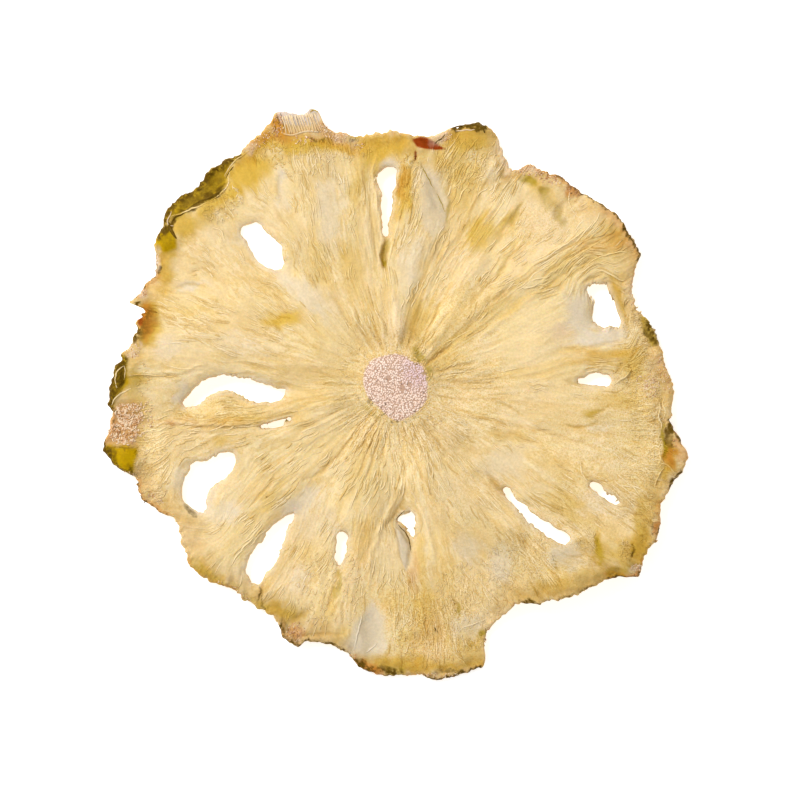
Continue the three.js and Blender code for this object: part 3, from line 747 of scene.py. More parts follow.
        (150, 470, 20, 50, 0, 0.5), (335, 145, 50, 14, 0, 0.6), (640, 340, 20, 40, 0, 0.6),
        (578, 310, 14, 24, 0, 0.8), (545, 222, 30, 26, 0, 0.7), (590, 440, 60, 60, 0, 0.7),
        (470, 500, 50, 50, 0, 0.5), (400, 180, 30, 40, 0, 0.4),
    ],
    # Olive skin, and painted shadow in grooves, at a slit's narrow end and in the streak below the olive
    # spot
    "olive_and_shadow": [
        (530, 182, 8.5, 5.5, -30, 0.78), (543, 191, 6, 4, -45, 0.5), (552, 206, 20, 5, -52, 0.2),
        (562, 220, 4, 11, 10, 0.25), (632, 548, 4, 9, 0, 0.2), (598, 548, 3, 14, 0, 0.6),
        (385, 250, 3.5, 12, 0, 0.5), (384, 264, 1.5, 7, 0, 0.8), (458, 610, 2.5, 10, 0, 0.6),
        (337, 584, 2.5, 14, -6, 0.5), (449, 212, 2, 12, 0, 0.5), (418, 356, 11, 5, -35, 0.6),
        (428, 373, 4, 8, 0, 0.55), (482, 634, 6, 5, 0, 0.8), (516, 214, 3, 14, -38, 0.35),
        (504, 264, 3, 14, -24, 0.25), (200, 568, 16, 5, -40, 0.25), (540, 300, 60, 20, 30, 0.08),
        (350, 139, 8, 5, 20, 0.7), (313, 111, 4, 2.5, 0, 0.8), (664, 442, 2.5, 16, 5, 0.8),
        (178, 216, 12, 6, 30, 0.5), (133, 378, 7, 15, 0, 0.35), (366, 172, 4, 12, 0, 0.3),
        (368, 410, 14, 3, -40, 0.35), (632, 566, 12, 5, 0, 0.3),
    ],
    "rust": [
        (403, 182, 5, 20, 0, 0.35), (604, 357, 28, 7, 5, 0.15), (143, 321, 4.5, 6, 0, 0.8),
        (148, 322, 5, 20, 4, 0.55), (669, 456, 6, 12, 10, 0.75), (370, 668, 12, 4, -30, 0.5),
        (616, 575, 14, 2.5, 0, 0.5), (655, 527, 3, 8, 0, 0.6), (414, 572, 5, 20, 0, 0.3),
        (281, 127, 8, 11, 0, 0.5), (296, 632, 10, 8, 0, 0.5), (284, 138, 26, 6, 0, 0.35),
        (330, 141, 26, 5, -20, 0.25), (600, 245, 34, 10, 0, 0.2), (430, 640, 16, 30, 0, 0.15),
        (170, 424, 6, 3, 0, 0.5), (365, 538, 8, 24, 0, 0.08), (200, 422, 60, 4, 0, 0.15),
        (262, 137, 18, 6, 38, 0.3), (572, 191, 8, 4, -30, 0.6),
    ],
    # Dark brown skin, and painted shadow: the small spots round the core's edge and the marks along
    # creases and in pits
    "brown_and_shadow": [
        (138, 336, 3, 8, 0, 0.4), (135, 304.5, 6.5, 1.8, 8, 0.95), (382, 415, 3, 1.6, 30, 0.6),
        (371, 404, 2, 4, 40, 0.5), (393, 422, 4, 1.2, 0, 0.6), (405, 422.5, 3, 1.2, 0, 0.5),
        (414, 416, 3, 1.4, 40, 0.5), (422, 407, 1.4, 3, -20, 0.5), (416, 356, 2, 5, -30, 0.45),
        (420, 361, 4, 2, 30, 0.5), (360, 398, 1.4, 5, 20, 0.35), (385, 669, 12, 4, -12, 0.55),
        (362, 662, 8, 3, -30, 0.5), (430, 676, 10, 3, 0, 0.4), (455, 672, 14, 2.5, 8, 0.5),
        (669, 438, 5, 13, 0, 0.55), (479, 634, 5, 4, 0, 0.3), (171, 226, 4, 12, -30, 0.8),
        (648, 331, 5, 13, 26, 0.6), (668, 430, 3, 8, 0, 0.6), (478, 126, 9, 5, -10, 0.95),
        (460, 127, 10, 2.5, 8, 0.7), (259.5, 593, 1.6, 10, -6, 0.6), (263, 601, 1.6, 9, 4, 0.5),
        (257, 610, 2.5, 5, 0, 0.4), (186, 508, 9, 5, 30, 0.2), (193, 512, 8, 2.5, -35, 0.5),
        (284, 626, 4, 10, 10, 0.45), (436, 633, 1.5, 1.5, 0, 0.9), (267, 498, 0.8, 0.8, 0, 0.6),
        (631, 552, 2, 8, 0, 0.6), (651.5, 528, 1.5, 7, 5, 0.5), (636, 573, 6, 2.5, 0, 0.5),
        (638, 567, 5, 4, 0, 0.25), (529, 600, 7, 3, 0, 0.8), (159, 269, 3, 3, 0, 0.8),
        (107, 455, 5, 14, 10, 0.75), (110, 457, 8, 15, 10, 0.5), (136.5, 457, 2, 10, -8, 0.25),
        (122, 445.5, 14, 1.5, 0, 0.45), (128, 468, 9, 4, 0, 0.2), (125, 452, 2.5, 5, 20, 0.2),
        (120, 467, 12, 7, -10, 0.2), (167, 240, 9, 13, 0, 0.32), (127, 472, 9, 2.5, 0, 0.6),
        (117, 428, 2.5, 9, 10, 0.6), (350, 141, 4, 3, 20, 0.6), (320, 139.5, 14, 1.2, -14, 0.6),
        (203, 200, 28, 2.6, 34, 0.7), (196, 196, 30, 4, 36, 0.2),
    ],
    "red": [(415.5, 156, 1.2, 5, 0, 0.8), (141, 322, 2.5, 4.5, 0, 0.7)],
    "white": [
        (440, 138, 12, 5, 35, 0.6), (250, 148, 12, 4, 35, 0.5), (636, 567, 5, 3.5, 0, 0.6),
        (345, 140, 12, 6, -20, 0.4), (530, 168, 12, 5, 0, 0.5), (156, 262, 3, 12, 0, 0.6),
        (633, 290, 3, 16, -10, 0.5), (560, 330, 10, 8, 0, 0.4), (133, 353, 4, 4, 0, 0.6),
        (141, 347, 3, 5, 0, 0.6), (140, 294, 8, 5, 20, 0.6),
    ],
}

# Patches with an outline of their own: kind, strength, half-width of the edge in mm, outline
# in photo pixels
OUTLINED = [
    ("moss", 1.0, 0.35, [
        (104, 446), (110, 442), (118, 446), (125, 442), (132, 446), (138, 446), (139, 450),
        (136.5, 460), (135, 470), (131, 476), (115, 472), (104, 462), (101, 450),
    ]),
    ("moss", 0.95, 0.3, [
        (130, 357), (128, 372), (131, 384), (123, 392), (115, 400), (114, 412), (106, 414), (104, 384),
        (110, 366), (122, 354),
    ]),
    ("brown_and_shadow", 0.7, 0.4, [
        (130, 357), (128, 372), (126, 384), (118, 392), (115, 400), (114, 412), (106, 414), (104, 384),
        (110, 366), (122, 354),
    ]),
    ("brown_and_shadow", 0.3, 0.4, [(118, 366), (116, 380), (113, 400), (106, 410), (104, 384), (110, 368)]),
    ("moss", 0.95, 0.35, [
        (246, 150), (232, 157), (210, 169), (197, 183), (178, 196), (162, 210), (155, 230), (168, 222),
        (171, 216), (180, 214), (190, 209), (200, 204), (212, 200), (222, 191), (228, 184), (226, 175),
        (230, 165), (238, 158),
    ]),
    ("brown_and_shadow", 0.47, 0.5, [
        (246, 150), (232, 157), (210, 169), (197, 183), (178, 196), (162, 210), (155, 230), (168, 222),
        (171, 216), (180, 214), (190, 209), (200, 204), (212, 200), (222, 191), (227, 184), (225, 175),
        (230, 165), (238, 158),
    ]),
    ("brown_and_shadow", 0.4, 0.5, [
        (244, 150), (224, 159), (208, 168), (196, 182), (178, 196), (162, 208), (156, 226), (166, 218),
        (176, 207), (190, 196), (206, 184), (218, 170), (232, 162),
    ]),
    ("rust", 0.55, 0.5, [
        (144, 304), (151, 303), (152, 318), (149, 333), (144, 336), (139, 326), (138, 317),
    ]),
    ("brown_and_shadow", 0.5, 1.1, [
        (144, 307), (154, 307), (157, 318), (151, 336), (139, 346), (137, 340), (138, 317),
    ]),
    ("gold", 0.95, 0.8, [(142, 304), (157, 302), (158, 325), (151, 347), (139, 347), (139, 316)]),
    ("olive_and_shadow", 0.5, 0.3, [(606, 577), (606, 571), (610, 566), (619, 566), (627, 570), (624, 577)]),
    ("rust", 0.35, 0.3, [(607, 577), (607, 571), (611, 567), (619, 567), (625, 571), (622, 577)]),
    ("brown_and_shadow", 0.3, 0.3, [(607, 577), (607, 571), (611, 567), (619, 567), (623, 571), (620, 577)]),
    ("moss", 0.65, 0.3, [(585, 415), (590, 411), (599, 408), (600, 410), (594, 415), (587, 417)]),
    ("shade", 0.7, 0.8, [(142, 304), (156, 302), (157, 325), (150, 347), (139, 347), (139, 316)]),
    ("moss", 1.0, 0.35, [
        (160, 230), (168, 224), (176, 236), (177, 248), (168, 253), (156, 252), (150, 244),
    ]),
    ("moss", 0.8, 0.35, [(640, 316), (648, 316), (660, 344), (652, 346), (645, 336), (641, 326)]),
    ("red", 1.0, 0.12, [
        (411.5, 140), (418, 138), (427, 138), (433, 141), (440, 146), (445.5, 149), (437, 150.5),
        (425, 149.5), (417, 147),
    ]),
    ("crumb", 0.85, 0.9, [
        (134, 401), (127, 403), (118, 405), (112, 412), (108, 425), (106, 437), (104, 443),
        (117, 443.5), (128, 444), (136, 445), (134, 438), (141, 433), (138, 426), (144, 420),
        (137, 413), (141, 407),
    ]),
    ("crumb", 0.5, 0.3, [(318, 120), (330, 126), (350, 134), (345, 142), (328, 140), (318, 134)]),
    ("grey", 0.7, 0.25, [
        (276, 108), (300, 109), (316, 107), (320, 118), (320, 124), (300, 126), (283, 124), (277, 116),
    ]),
    ("veil", 0.5, 0.6, [
        (423, 166), (432, 172), (441, 184), (447, 200), (450, 216), (444, 228), (434, 238), (424, 230),
        (420, 210), (421, 190),
    ]),
    ("veil", 0.85, 0.8, [
        (372, 602), (384, 618), (388, 648), (380, 656), (350, 656), (346, 645), (354, 625),
    ]),
    ("shade", 0.35, 0.6, [(366, 612), (372, 640), (366, 656), (350, 656), (345, 642)]),
    ("shade", 0.6, 0.2, [(398, 524), (404, 530), (411, 545), (411, 558), (406, 572), (401, 560)]),
    ("veil", 0.95, 0.2, [
        (396, 522), (404, 530), (411, 545), (411, 558), (406, 574), (401, 560), (397, 540),
    ]),
]

# Bands along the rim: kind, from and to in photo pixels (clockwise seen from above), depth in mm
RIM_BANDS = [
    ("brown_and_shadow", (154, 240), (242, 156), 0.9, 0.6), ("brown_and_shadow", (113, 415), (130, 360), 0.8, 0.6),
    ("brown_and_shadow", (137, 346), (140, 324), 0.5, 0.6), ("rust", (141, 300), (158, 268), 1.0, 0.4),
    ("brown_and_shadow", (141, 300), (156, 250), 0.4, 0.6), ("rust", (276, 112), (322, 118), 1.2, 0.2),
    ("brown_and_shadow", (452, 128), (487, 130), 0.8, 0.8), ("white", (497, 140), (512, 170), 1.4, 0.5),
    ("rust", (520, 168), (579, 194), 0.8, 0.5), ("brown_and_shadow", (545, 172), (580, 194), 0.5, 0.5),
    ("brown_and_shadow", (580, 194), (628, 234), 0.45, 0.7), ("brown_and_shadow", (624, 226), (639, 260), 0.7, 0.75),
    ("rust", (600, 206), (639, 258), 1.6, 0.3), ("rust", (638, 258), (631, 290), 0.8, 0.1),
    ("brown_and_shadow", (646, 320), (655, 346), 1.0, 0.6), ("rust", (655, 350), (672, 392), 1.4, 0.15),
    ("brown_and_shadow", (671, 418), (675, 442), 0.6, 0.7), ("rust", (676, 438), (686, 462), 2.2, 0.35),
    ("brown_and_shadow", (684, 470), (668, 488), 0.7, 0.8), ("rust", (662, 500), (656, 536), 0.9, 0.3),
    ("brown_and_shadow", (658, 522), (653, 538), 0.4, 0.5), ("rust", (645, 560), (608, 577), 0.9, 0.6),
    ("brown_and_shadow", (640, 574), (606, 577), 0.5, 0.7), ("brown_and_shadow", (596, 586), (522, 603), 0.4, 0.45),
    ("brown_and_shadow", (540, 602), (520, 601), 0.9, 0.7), ("rust", (484, 660), (400, 676), 0.6, 0.15),
    ("brown_and_shadow", (484, 668), (425, 681), 0.5, 0.75), ("olive_and_shadow", (406, 680), (385, 676), 1.6, 0.5),
    ("brown_and_shadow", (404, 674), (378, 676), 1.3, 0.5), ("rust", (385, 676), (354, 660), 1.6, 0.5),
    ("brown_and_shadow", (374, 672), (352, 660), 1.1, 0.75), ("brown_and_shadow", (356, 662), (300, 642), 0.5, 0.6),
    ("brown_and_shadow", (302, 644), (280, 620), 1.0, 0.6), ("rust", (300, 645), (282, 622), 1.8, 0.3),
    ("olive_and_shadow", (268, 612), (240, 597), 1.4, 0.3), ("olive_and_shadow", (238, 592), (190, 562), 1.5, 0.3),
    ("rust", (236, 592), (188, 556), 0.6, 0.35), ("rust", (170, 515), (138, 478), 0.8, 0.4),
    ("brown_and_shadow", (170, 515), (138, 478), 0.35, 0.5), ("brown_and_shadow", (134, 477), (106, 440), 0.45, 0.8),
    ("rust", (106, 440), (114, 415), 0.8, 0.4),
]

KINDS = (
    "gold", "bright", "pale", "veil", "shade", "smooth", "grit", "grey", "olive_and_shadow", "rust", "crumb",
    "moss", "brown_and_shadow", "red", "white",
)

# A patch's edge by kind: where it starts and ends to fade, as shares of its half-sizes, and how
# far the fibres draw it out
COMMON_EDGE = (0.4, 1.4, 1.0)
PATCH_EDGE = {
    "olive_and_shadow": (0.6, 1.25, 0.5),
    "brown_and_shadow": (0.75, 1.1, 0.3),
    "red": (0.88, 1.04, 0.0),
}


def in_patch(xy, centre, half, degrees):
    """Distance from a turned ellipse's centre, 1 on its edge."""
    offset = turned(xy - place(centre), -math.radians(degrees))
    return np.hypot(*(offset / (np.array(half) * PIXEL)).T)


def colour_masks(xy, turn, share, angle, rim_gap):
    """A mask from 0 to 1 for each kind of colour, with edges drawn out along the fibres."""
    masks = {kind: np.zeros(len(xy)) for kind in KINDS}

    def lay(kind, where, spot):
        masks[kind][where] = 1 - (1 - masks[kind][where]) * (1 - spot)

    moved = wandering(xy, 0.7)
    streak = 0.30 * fibre_noise(45, turn, share, 120, 4) + 0.22 * fibre_noise(46, turn, share, 300, 8)
    for kind, patches in PATCHES.items():
        low, high, drawn = PATCH_EDGE.get(kind, COMMON_EDGE)
        source = xy if kind == "red" else moved
        for x, y, wide, tall, degrees, strength in patches:
            reach = 1.8 * max(wide, tall) * PIXEL + 0.5
            near = np.flatnonzero(np.abs(xy - place((x, y))).max(1) < reach)
            out = in_patch(source[near], (x, y), (wide, tall), degrees)
            spot = 1 - smoothstep(low, high, out * (1 + drawn * streak[near]))
            lay(kind, near, strength * spot)
    ragged = wandering(xy, 0.15)
    for kind, strength, soft, outline in OUTLINED:
        loop = place(outline)
        near = np.flatnonzero(((xy > loop.min(0) - 1) & (xy < loop.max(0) + 1)).all(1))
        gap = loop_distance(ragged[near], loop)
        lay(kind, near, strength * (1 - smoothstep(-soft, soft, gap)))
    rough = 1 + 0.5 * plane_noise(41, xy, 1.3) + 0.5 * plane_noise(42, xy, 0.5)
    ends = 0.012  # radians over which a band fades in and out
    for kind, start, end, depth, strength in RIM_BANDS:
        span = (direction(start) - direction(end)) % TURN
        into = (direction(start) - angle) % TURN
        held = smoothstep(-ends, ends, into) * (1 - smoothstep(span - ends, span + ends, into))
        held *= 1 - smoothstep(0.55, 1.1, rim_gap / (depth * rough))
        lay(kind, slice(None), strength * held)
    return masks


# ---------------------------------------------------------------- relief

# Raised or sunk places: centre and half-sizes in photo pixels, turn in degrees, height in mm
LUMPS = [
    ((128, 461), (19, 16), 0, 1.0), ((117, 382), (8, 25), -18, 0.7), ((124, 378), (3, 14), -10, -0.5),
    ((428, 145), (17, 5), -14, -0.45), ((415.5, 156), (1.5, 5), 0, -0.3),
    ((204, 188), (36, 11), 38, -0.5), ((384, 256), (4, 17), 0, -0.5), ((569, 556), (18, 8), 0, -0.25),
    ((614, 570), (7, 4), 0, -0.2), ((436, 633), (1.3, 1.3), 0, -0.3), ((267, 498), (1, 1), 0, -0.2),
    ((478, 129), (9, 5), -10, 0.5), ((532, 182), (8, 6), 0, -0.35), ((546, 194), (9, 6), -30, -0.35),
    ((560, 210), (6, 13), -30, -0.3), ((170, 240), (12, 20), -25, 0.5),
    ((577, 318), (18, 26), 14, -0.12), ((436, 196), (8, 26), 22, -0.35),
    ((374, 630), (15, 26), 0, -0.5), ((310, 240), (22, 40), 25, 0.35), ((470, 280), (16, 30), -35, 0.5),
    ((545, 225), (24, 18), -40, 0.4), ((520, 350), (40, 14), 10, 0.3), ((450, 420), (30, 16), -30, 0.3),
    ((320, 400), (36, 12), 0, 0.3), ((340, 500), (16, 40), 30, 0.3), ((425, 560), (12, 40), 0, 0.3),
    ((585, 212), (12, 18), 10, 0.35), ((610, 250), (20, 8), 0, 0.3), ((545, 470), (30, 14), -35, 0.3),
    ((230, 300), (40, 14), -20, 0.3), ((300, 330), (30, 12), -40, 0.3), ((200, 425), (50, 8), 0, 0.35),
]


def lump_relief(xy):
    """Height of the raised and sunk places."""
    height = np.zeros(len(xy))
    moved = wandering(xy, 0.3)
    for centre, half, degrees, peak in LUMPS:
        height += peak * (1 - smoothstep(0.35, 1.15, in_patch(moved, centre, half, degrees)))
    return height


# Where a slit's lip stands into it (or, below zero, back from it): place and reach in photo
# pixels, amount in mm
LIP_TUFTS = [
    ((383, 175), 5, -0.9), ((390, 171), 4, -0.7), ((382, 184), 3, -0.3), ((384, 205), 5, -0.4),
    ((384, 219), 3, -0.4), ((384, 225), 2.5, -0.55), ((384, 231), 2.5, -0.5), ((384, 236), 2, -0.3),
    ((390, 225), 3.5, 0.4), ((390, 170), 5, -0.3), ((340, 535), 3, -0.4), ((334, 552), 4, -0.2),
    ((584.5, 381), 2.5, -0.5), ((613.5, 500.5), 2.5, -0.5), ((404, 514), 4, 0.5),
    ((406, 535), 4, -0.35), ((575, 379), 3, -0.4), ((590, 373.5), 4, -0.25), ((612, 384), 4, 0.3),
    ((285, 256), 6, 0.4), ((279, 242), 5, 0.25), ((507, 489), 3, -0.5), ((526, 516), 4, -0.25),
    ((532, 512), 5, 0.3), ((556, 528), 6, 0.35), ((568, 537), 6, 0.3), ((600, 493), 4, 0.15),
    ((608, 490), 4, 0.1), ((183, 402), 5, -0.4), ((224, 376), 8, -0.2), ((270, 231), 6, 0.2),
    ((284, 258), 6, 0.3), ((335, 557), 4, -0.3), ((337, 547), 3, -0.3), ((340, 537), 3, -0.5),
    ((399, 514), 3, 0.5), ((520, 497), 4, 0.3), ((534, 508), 5, 0.35), ((548, 516), 5, 0.35),
    ((508, 490), 3, -0.4), ((287, 260), 4, 0.35), ((268, 230), 4, 0.3), ((612, 327), 5, 0.4),
    ((596, 375), 4, -0.25), ((577, 378), 2, -0.4), ((600, 388), 6, 0.2), ((277, 236), 6, 0.8),
    ((288, 252), 7, 0.9), ((286, 266), 5, 0.6), ((240, 233), 4, -0.3), ((264, 229), 4, 0.35),
    ((272, 237), 4, 0.3), ((280, 243), 4, 0.35), ((266, 234), 3, 0.3), ((394, 195), 10, 0.3),
    ((236, 377), 8, 0.25), ((285, 394), 4, 0.3), ((243, 392), 8, 0.2), ((262, 426), 3, -0.3),
    ((289, 418.5), 3, -0.3), ((203, 461), 6, 0.35), ((189, 468), 4, 0.35), ((211, 492), 5, 0.45),
    ((207, 500), 5, 0.5), ((190, 506), 5, 0.25), ((297, 512), 4, 0.3), ((262, 541), 4, 0.35),
    ((252, 553), 4, 0.2), ((250, 576), 4, 0.4), ((267, 574), 5, 0.5), ((347, 543), 4, 0.25),
    ((337, 558), 3, -0.5), ((399, 530), 5, 0.3), ((417, 520), 4, 0.25), ((413, 540), 3, 0.4),
    ((520, 499), 5, 0.4), ((540, 517), 6, 0.3), ((560, 526), 8, 0.6), ((576, 539), 7, 1.1),
    ((567, 531), 5, 0.5), ((540, 536), 8, 0.2), ((608, 487), 4, 0.8), ((593, 485.5), 3, -1.3),
    ((599, 485), 4, -0.5), ((612, 499), 3, -0.7), ((617, 502.5), 2.5, -1.1), ((604, 499), 3, 0.3),
    ((600, 284), 6, 0.3), ((593, 301), 4, 0.45), ((611, 294), 5, 0.45), ((612, 329), 7, 0.5),
    ((615, 381), 4, 0.6), ((600, 389), 8, 0.3), ((580, 381.5), 3, -0.7), ((586, 387), 4, 0.25),
    ((611, 389), 4, 0.6),
]


def slit_distance(xy):
    """Distance to the nearest slit, negative inside it, with ragged lips."""
    gap = np.full(len(xy), 99.0)
    ragged = 0.20 * plane_noise(51, xy, 1.3) + 0.16 * plane_noise(52, xy, 0.6)
    ragged += 0.12 + 0.16 * plane_noise(53, xy, 0.35)
    for loop in SLITS:
        near = np.flatnonzero((xy > loop.min(0) - 3).all(1) & (xy < loop.max(0) + 3).all(1))
        x, y = loop.T
        area = abs(x @ np.roll(y, 1) - y @ np.roll(x, 1)) / 2
        mean_width = area / np.ptp(loop, axis=0).max()
        rough = min(1.0, (mean_width / 1.6) ** 2)
        gap[near] = np.minimum(gap[near], loop_distance(xy[near], loop) + rough * ragged[near])
    for spot, reach, amount in LIP_TUFTS:
        near = np.abs(xy - place(spot)).max(1) < 3 * reach * PIXEL
        offset = (xy[near] - place(spot)) / (reach * PIXEL)
        gap[near] += amount * np.exp(-(offset**2).sum(1))
    return gap


# Fibre layers: cells in a turn, rows out to the rim, height in mm
FIBRE_LAYERS = [(34, 3, 0.10), (66, 4, 0.08), (120, 6, 0.062), (220, 9, 0.052), (420, 14, 0.038)]


def fibre_relief(turn, share, radius, seed):
    """Pleats and fibres that run out from the core, in mm. Layers too fine to show fade."""
    total = np.zeros(len(turn))
    for k, (around, rows, height) in enumerate(FIBRE_LAYERS):
        spacing = TURN * radius / around
        shown = smoothstep(0.15, 0.4, spacing) * (1 - 0.6 * smoothstep(3.0, 6.0, spacing))
        patchy = smoothstep(-0.5, 0.5, fibre_noise(seed + 10 + k, turn, share, 20, 5))
        noise = fibre_noise(seed + k, turn, share, around, rows)
        crest = 2.2 * np.clip(1 - 2.4 * np.abs(noise), 0.0, 1.0) ** 1.5 - 0.7
        total += height * shown * (0.25 + 0.75 * patchy) * (0.6 * crest + 0.5 * noise)
    return total


def edge_round(gap):
    """A round edge's height, 0 at the edge to 1 where the gap reaches 1."""
    return np.sqrt(1 - (1 - np.clip(gap, 0.0, 1.0)) ** 2)


def sheet(turn, share):
    """Every field of the sheet at these places."""
    xy, angle, radius, outer = flow(turn, share)
    rim_gap = np.maximum(outer - radius, 0.0)
    slit_gap = slit_distance(xy)
    middle, thickness = HEIGHTS.at(xy)
    lip = smoothstep(0.0, 1.4, slit_gap)
    thick = np.clip(thickness, 0.9, 4.5) * (0.55 + 0.45 * lip)
    # Creases give painted shade in their grooves, ridges a painted highlight and paler colour on the
    # bundles
    creases, painted_shade = drawn_lines(xy, CREASES)
    ridges, light = drawn_lines(xy, RIDGES)
    folds_drawn = 0.32 * (ridges - creases)
    lumps = 0.5 * lump_relief(xy)
    on_flesh = smoothstep(0.0, 0.03, share)
    near_rim = 1 - smoothstep(0.5, 5.0, rim_gap)
    crumple = 0.42 * plane_noise(61, xy, 3.0) + 0.26 * plane_noise(62, xy, 1.4)
    granular = 0.24 * (0.4 - np.abs(plane_noise(65, xy, 0.9))) * (1 - smoothstep(0.6, 2.2, rim_gap))
    folds = 1 - 2 * np.abs(plane_noise(67, xy, 2.6))
    wrinkles = 0.10 * plane_noise(63, xy, 3.6) + 0.05 * plane_noise(64, xy, 1.3) + 0.05 * folds
    masks = colour_masks(xy, turn, share, angle, rim_gap)
    calm = 1 - 0.75 * masks["veil"] - 0.35 * masks["pale"] * (1 - masks["veil"])
    calm *= 1 - 0.6 * masks["smooth"]
    fibres = calm * fibre_relief(turn, share, radius, 70)
    under = fibre_relief(turn, share, radius, 90)
    middle = middle + on_flesh * (near_rim * crumple + wrinkles + folds_drawn + lumps)
    top = thick / 2 + on_flesh * (fibres + folds_drawn + lumps + granular)
    bottom = thick / 2 + on_flesh * under
    body = edge_round(slit_gap / 0.3) * edge_round(rim_gap / 0.6)
    return {
        "xy": xy,
        "radius": radius,
        "rim_gap": rim_gap,
        "slit_gap": slit_gap,
        "top": np.maximum(middle + body * top, 0.25 + 0.2 * body),
        "bottom": np.maximum(middle - body * bottom, 0.0),
        "fibres": fibres,
        "painted_shade": painted_shade * on_flesh,
        "light": light * on_flesh,
        "fibre_place": fibre_place(turn * TURN, share),
        **masks,
    }


def fibre_place(angle, share):
    """Coordinates in which a fibre is a straight line, with no seam after a whole turn."""
    return np.column_stack((np.cos(angle), np.sin(angle), share))


# ---------------------------------------------------------------- bunches of fibres

# Where bunches lie thick: centre and half-sizes in photo pixels, turn in degrees, how thick
BUNCH_ZONES = [
    ((575, 255), (60, 26), 30, 0.35), ((500, 262), (22, 40), -30, 0.4), ((400, 215), (16, 50), 0, 0.5),
    ((225, 330), (70, 24), -12, 0.35), ((310, 240), (26, 60), 10, 0.2), ((400, 585), (34, 24), 0, 0.7),
    ((450, 620), (26, 50), 0, 0.4), ((250, 560), (60, 50), 0, 0.25), ((395, 450), (60, 50), 0, 0.25),
    ((580, 480), (60, 50), 0, 0.2), ((200, 420), (90, 20), 0, 0.5), ((460, 170), (40, 40), 0, 0.35),
    ((625, 300), (14, 34), -20, 0.9), ((625, 370), (20, 40), 0, 0.5), ((640, 470), (20, 50), 0, 0.3),
    ((520, 560), (30, 40), 0, 0.5), ((480, 590), (30, 30), 0, 0.4), ((170, 460), (20, 50), 0, 0.5),
    ((320, 170), (30, 26), 0, 0.4), ((560, 545), (40, 16), 0, 0.5), ((300, 470), (34, 24), -40, 0.3),
    ((395, 387), (64, 64), 0, 0.12), ((500, 430), (50, 20), -10, 0.15), ((430, 625), (50, 40), 0, 0.5),
    ((622, 450), (34, 50), 0, 0.6), ((545, 222), (30, 26), 0, 0.2), ((472, 170), (30, 40), 0, 0.3),
]


class Bunches:
    """Short fibres that lie side by side along the flow: their routes, and a map of the painted shadow
    they cast beside where they lie.
    """

    TRIES = 3600  # places where a bunch may start
    MOST = 1900  # fibres in all
    POINTS = 9  # on each fibre
    CELL = 0.22  # mm, a cell of the map of their painted shadow
    REACH = 49.0  # mm from the origin to the map's edge
    SHADOW = (0.10, -0.12)  # mm from a fibre to the middle of its shadow

    def __init__(self):
        turns, shares = self._routes(np.random.default_rng(501))
        xy, angle, radius, outer = flow(turns, shares)
        masks = colour_masks(xy, turns, shares, angle, outer - radius)
        calm = np.maximum(np.maximum(masks["veil"], 0.6 * masks["pale"]), masks["smooth"])
        clear = (slit_distance(xy) > 0.15) & (calm < 0.45)
        whole = clear.reshape(-1, self.POINTS).all(1)
        self.lines = xy.reshape(-1, self.POINTS, 2)[whole][:self.MOST]
        side_cells = int(2 * self.REACH / self.CELL)
        shadow = self.lines.reshape(-1, 2) + self.SHADOW
        cell = ((shadow + self.REACH) / self.CELL).astype(int)
        counts = np.zeros((side_cells, side_cells))
        np.add.at(counts, tuple(cell.T), 1.0)
        # The painted shadow: how thickly the fibres lie, moved by SHADOW and spread out
        self.field = 1 - np.exp(-1.6 * blurred(counts, 1.3))

    def _routes(self, rng):
        """Turn and share of every fibre's points, fibre after fibre."""
        turn = rng.random(self.TRIES)
        start = rng.random(self.TRIES) ** 0.8 * 0.96
        middle = flow(turn, start)[0]
        wanted = 0.03 + 0.18 * smoothstep(0.0, 0.6, plane_noise(503, middle, 6.0))
        for centre, half, degrees, thick in BUNCH_ZONES:
            wanted += thick * (in_patch(middle, centre, half, degrees) < 1)
        kept = np.flatnonzero(rng.random(self.TRIES) < wanted)
        each = rng.integers(2, 8, len(kept))
        owner = np.repeat(np.arange(len(kept)), each)
        number = np.arange(len(owner)) - np.repeat(np.cumsum(each) - each, each)

        # In mm and radians: a value for each bunch, and often a little more for each fibre
        radius = (CORE_REACH + FLESH_REACH * start[kept])[owner]
        apart = rng.uniform(0.38, 0.62, len(kept))[owner]
        long = rng.uniform(1.2, 4.2, len(kept))[owner] * rng.uniform(0.5, 1.2, len(owner))
        side = (number - each[owner] / 2) * apart + rng.normal(0, 0.06, len(owner))
        lead = start[kept][owner] + rng.normal(0, 0.014, len(owner))
        swing = rng.uniform(0.0, 0.16, len(kept))[owner]
        phase = rng.uniform(0, TURN, len(kept))[owner] + rng.normal(0, 0.4, len(owner))
        wave = rng.uniform(1.8, 3.6, len(kept))[owner]
        slant = rng.normal(0, 0.10, len(kept))[owner] + rng.normal(0, 0.05, len(owner))

        gone = np.linspace(0, 1, self.POINTS) * long[:, None]
        off = side[:, None] + slant[:, None] * gone
        off += swing[:, None] * np.sin(gone * TURN / wave[:, None] + phase[:, None])
        turns = turn[kept][owner][:, None] + off / (TURN * radius[:, None])
        shares = lead[:, None] + gone / FLESH_REACH
        inside = (shares.min(1) > 0.004) & (shares.max(1) < 0.985)
        return turns[inside].ravel() % 1.0, shares[inside].ravel()

    def shadow_at(self, xy):
        """How much painted shadow from the bunches' fibres nearby falls on these places, 0 to 1."""
        at = (xy + self.REACH) / self.CELL - 0.5
        low = np.floor(at).astype(int)
        (fx, fy), (i, j) = (at - low).T, low.T
        left = self.field[i, j] * (1 - fy) + self.field[i, j + 1] * fy
        right = self.field[i + 1, j] * (1 - fy) + self.field[i + 1, j + 1] * fy
        return left * (1 - fx) + right * fx


BUNCHES = Bunches()

# ---------------------------------------------------------------- the sheet's mesh

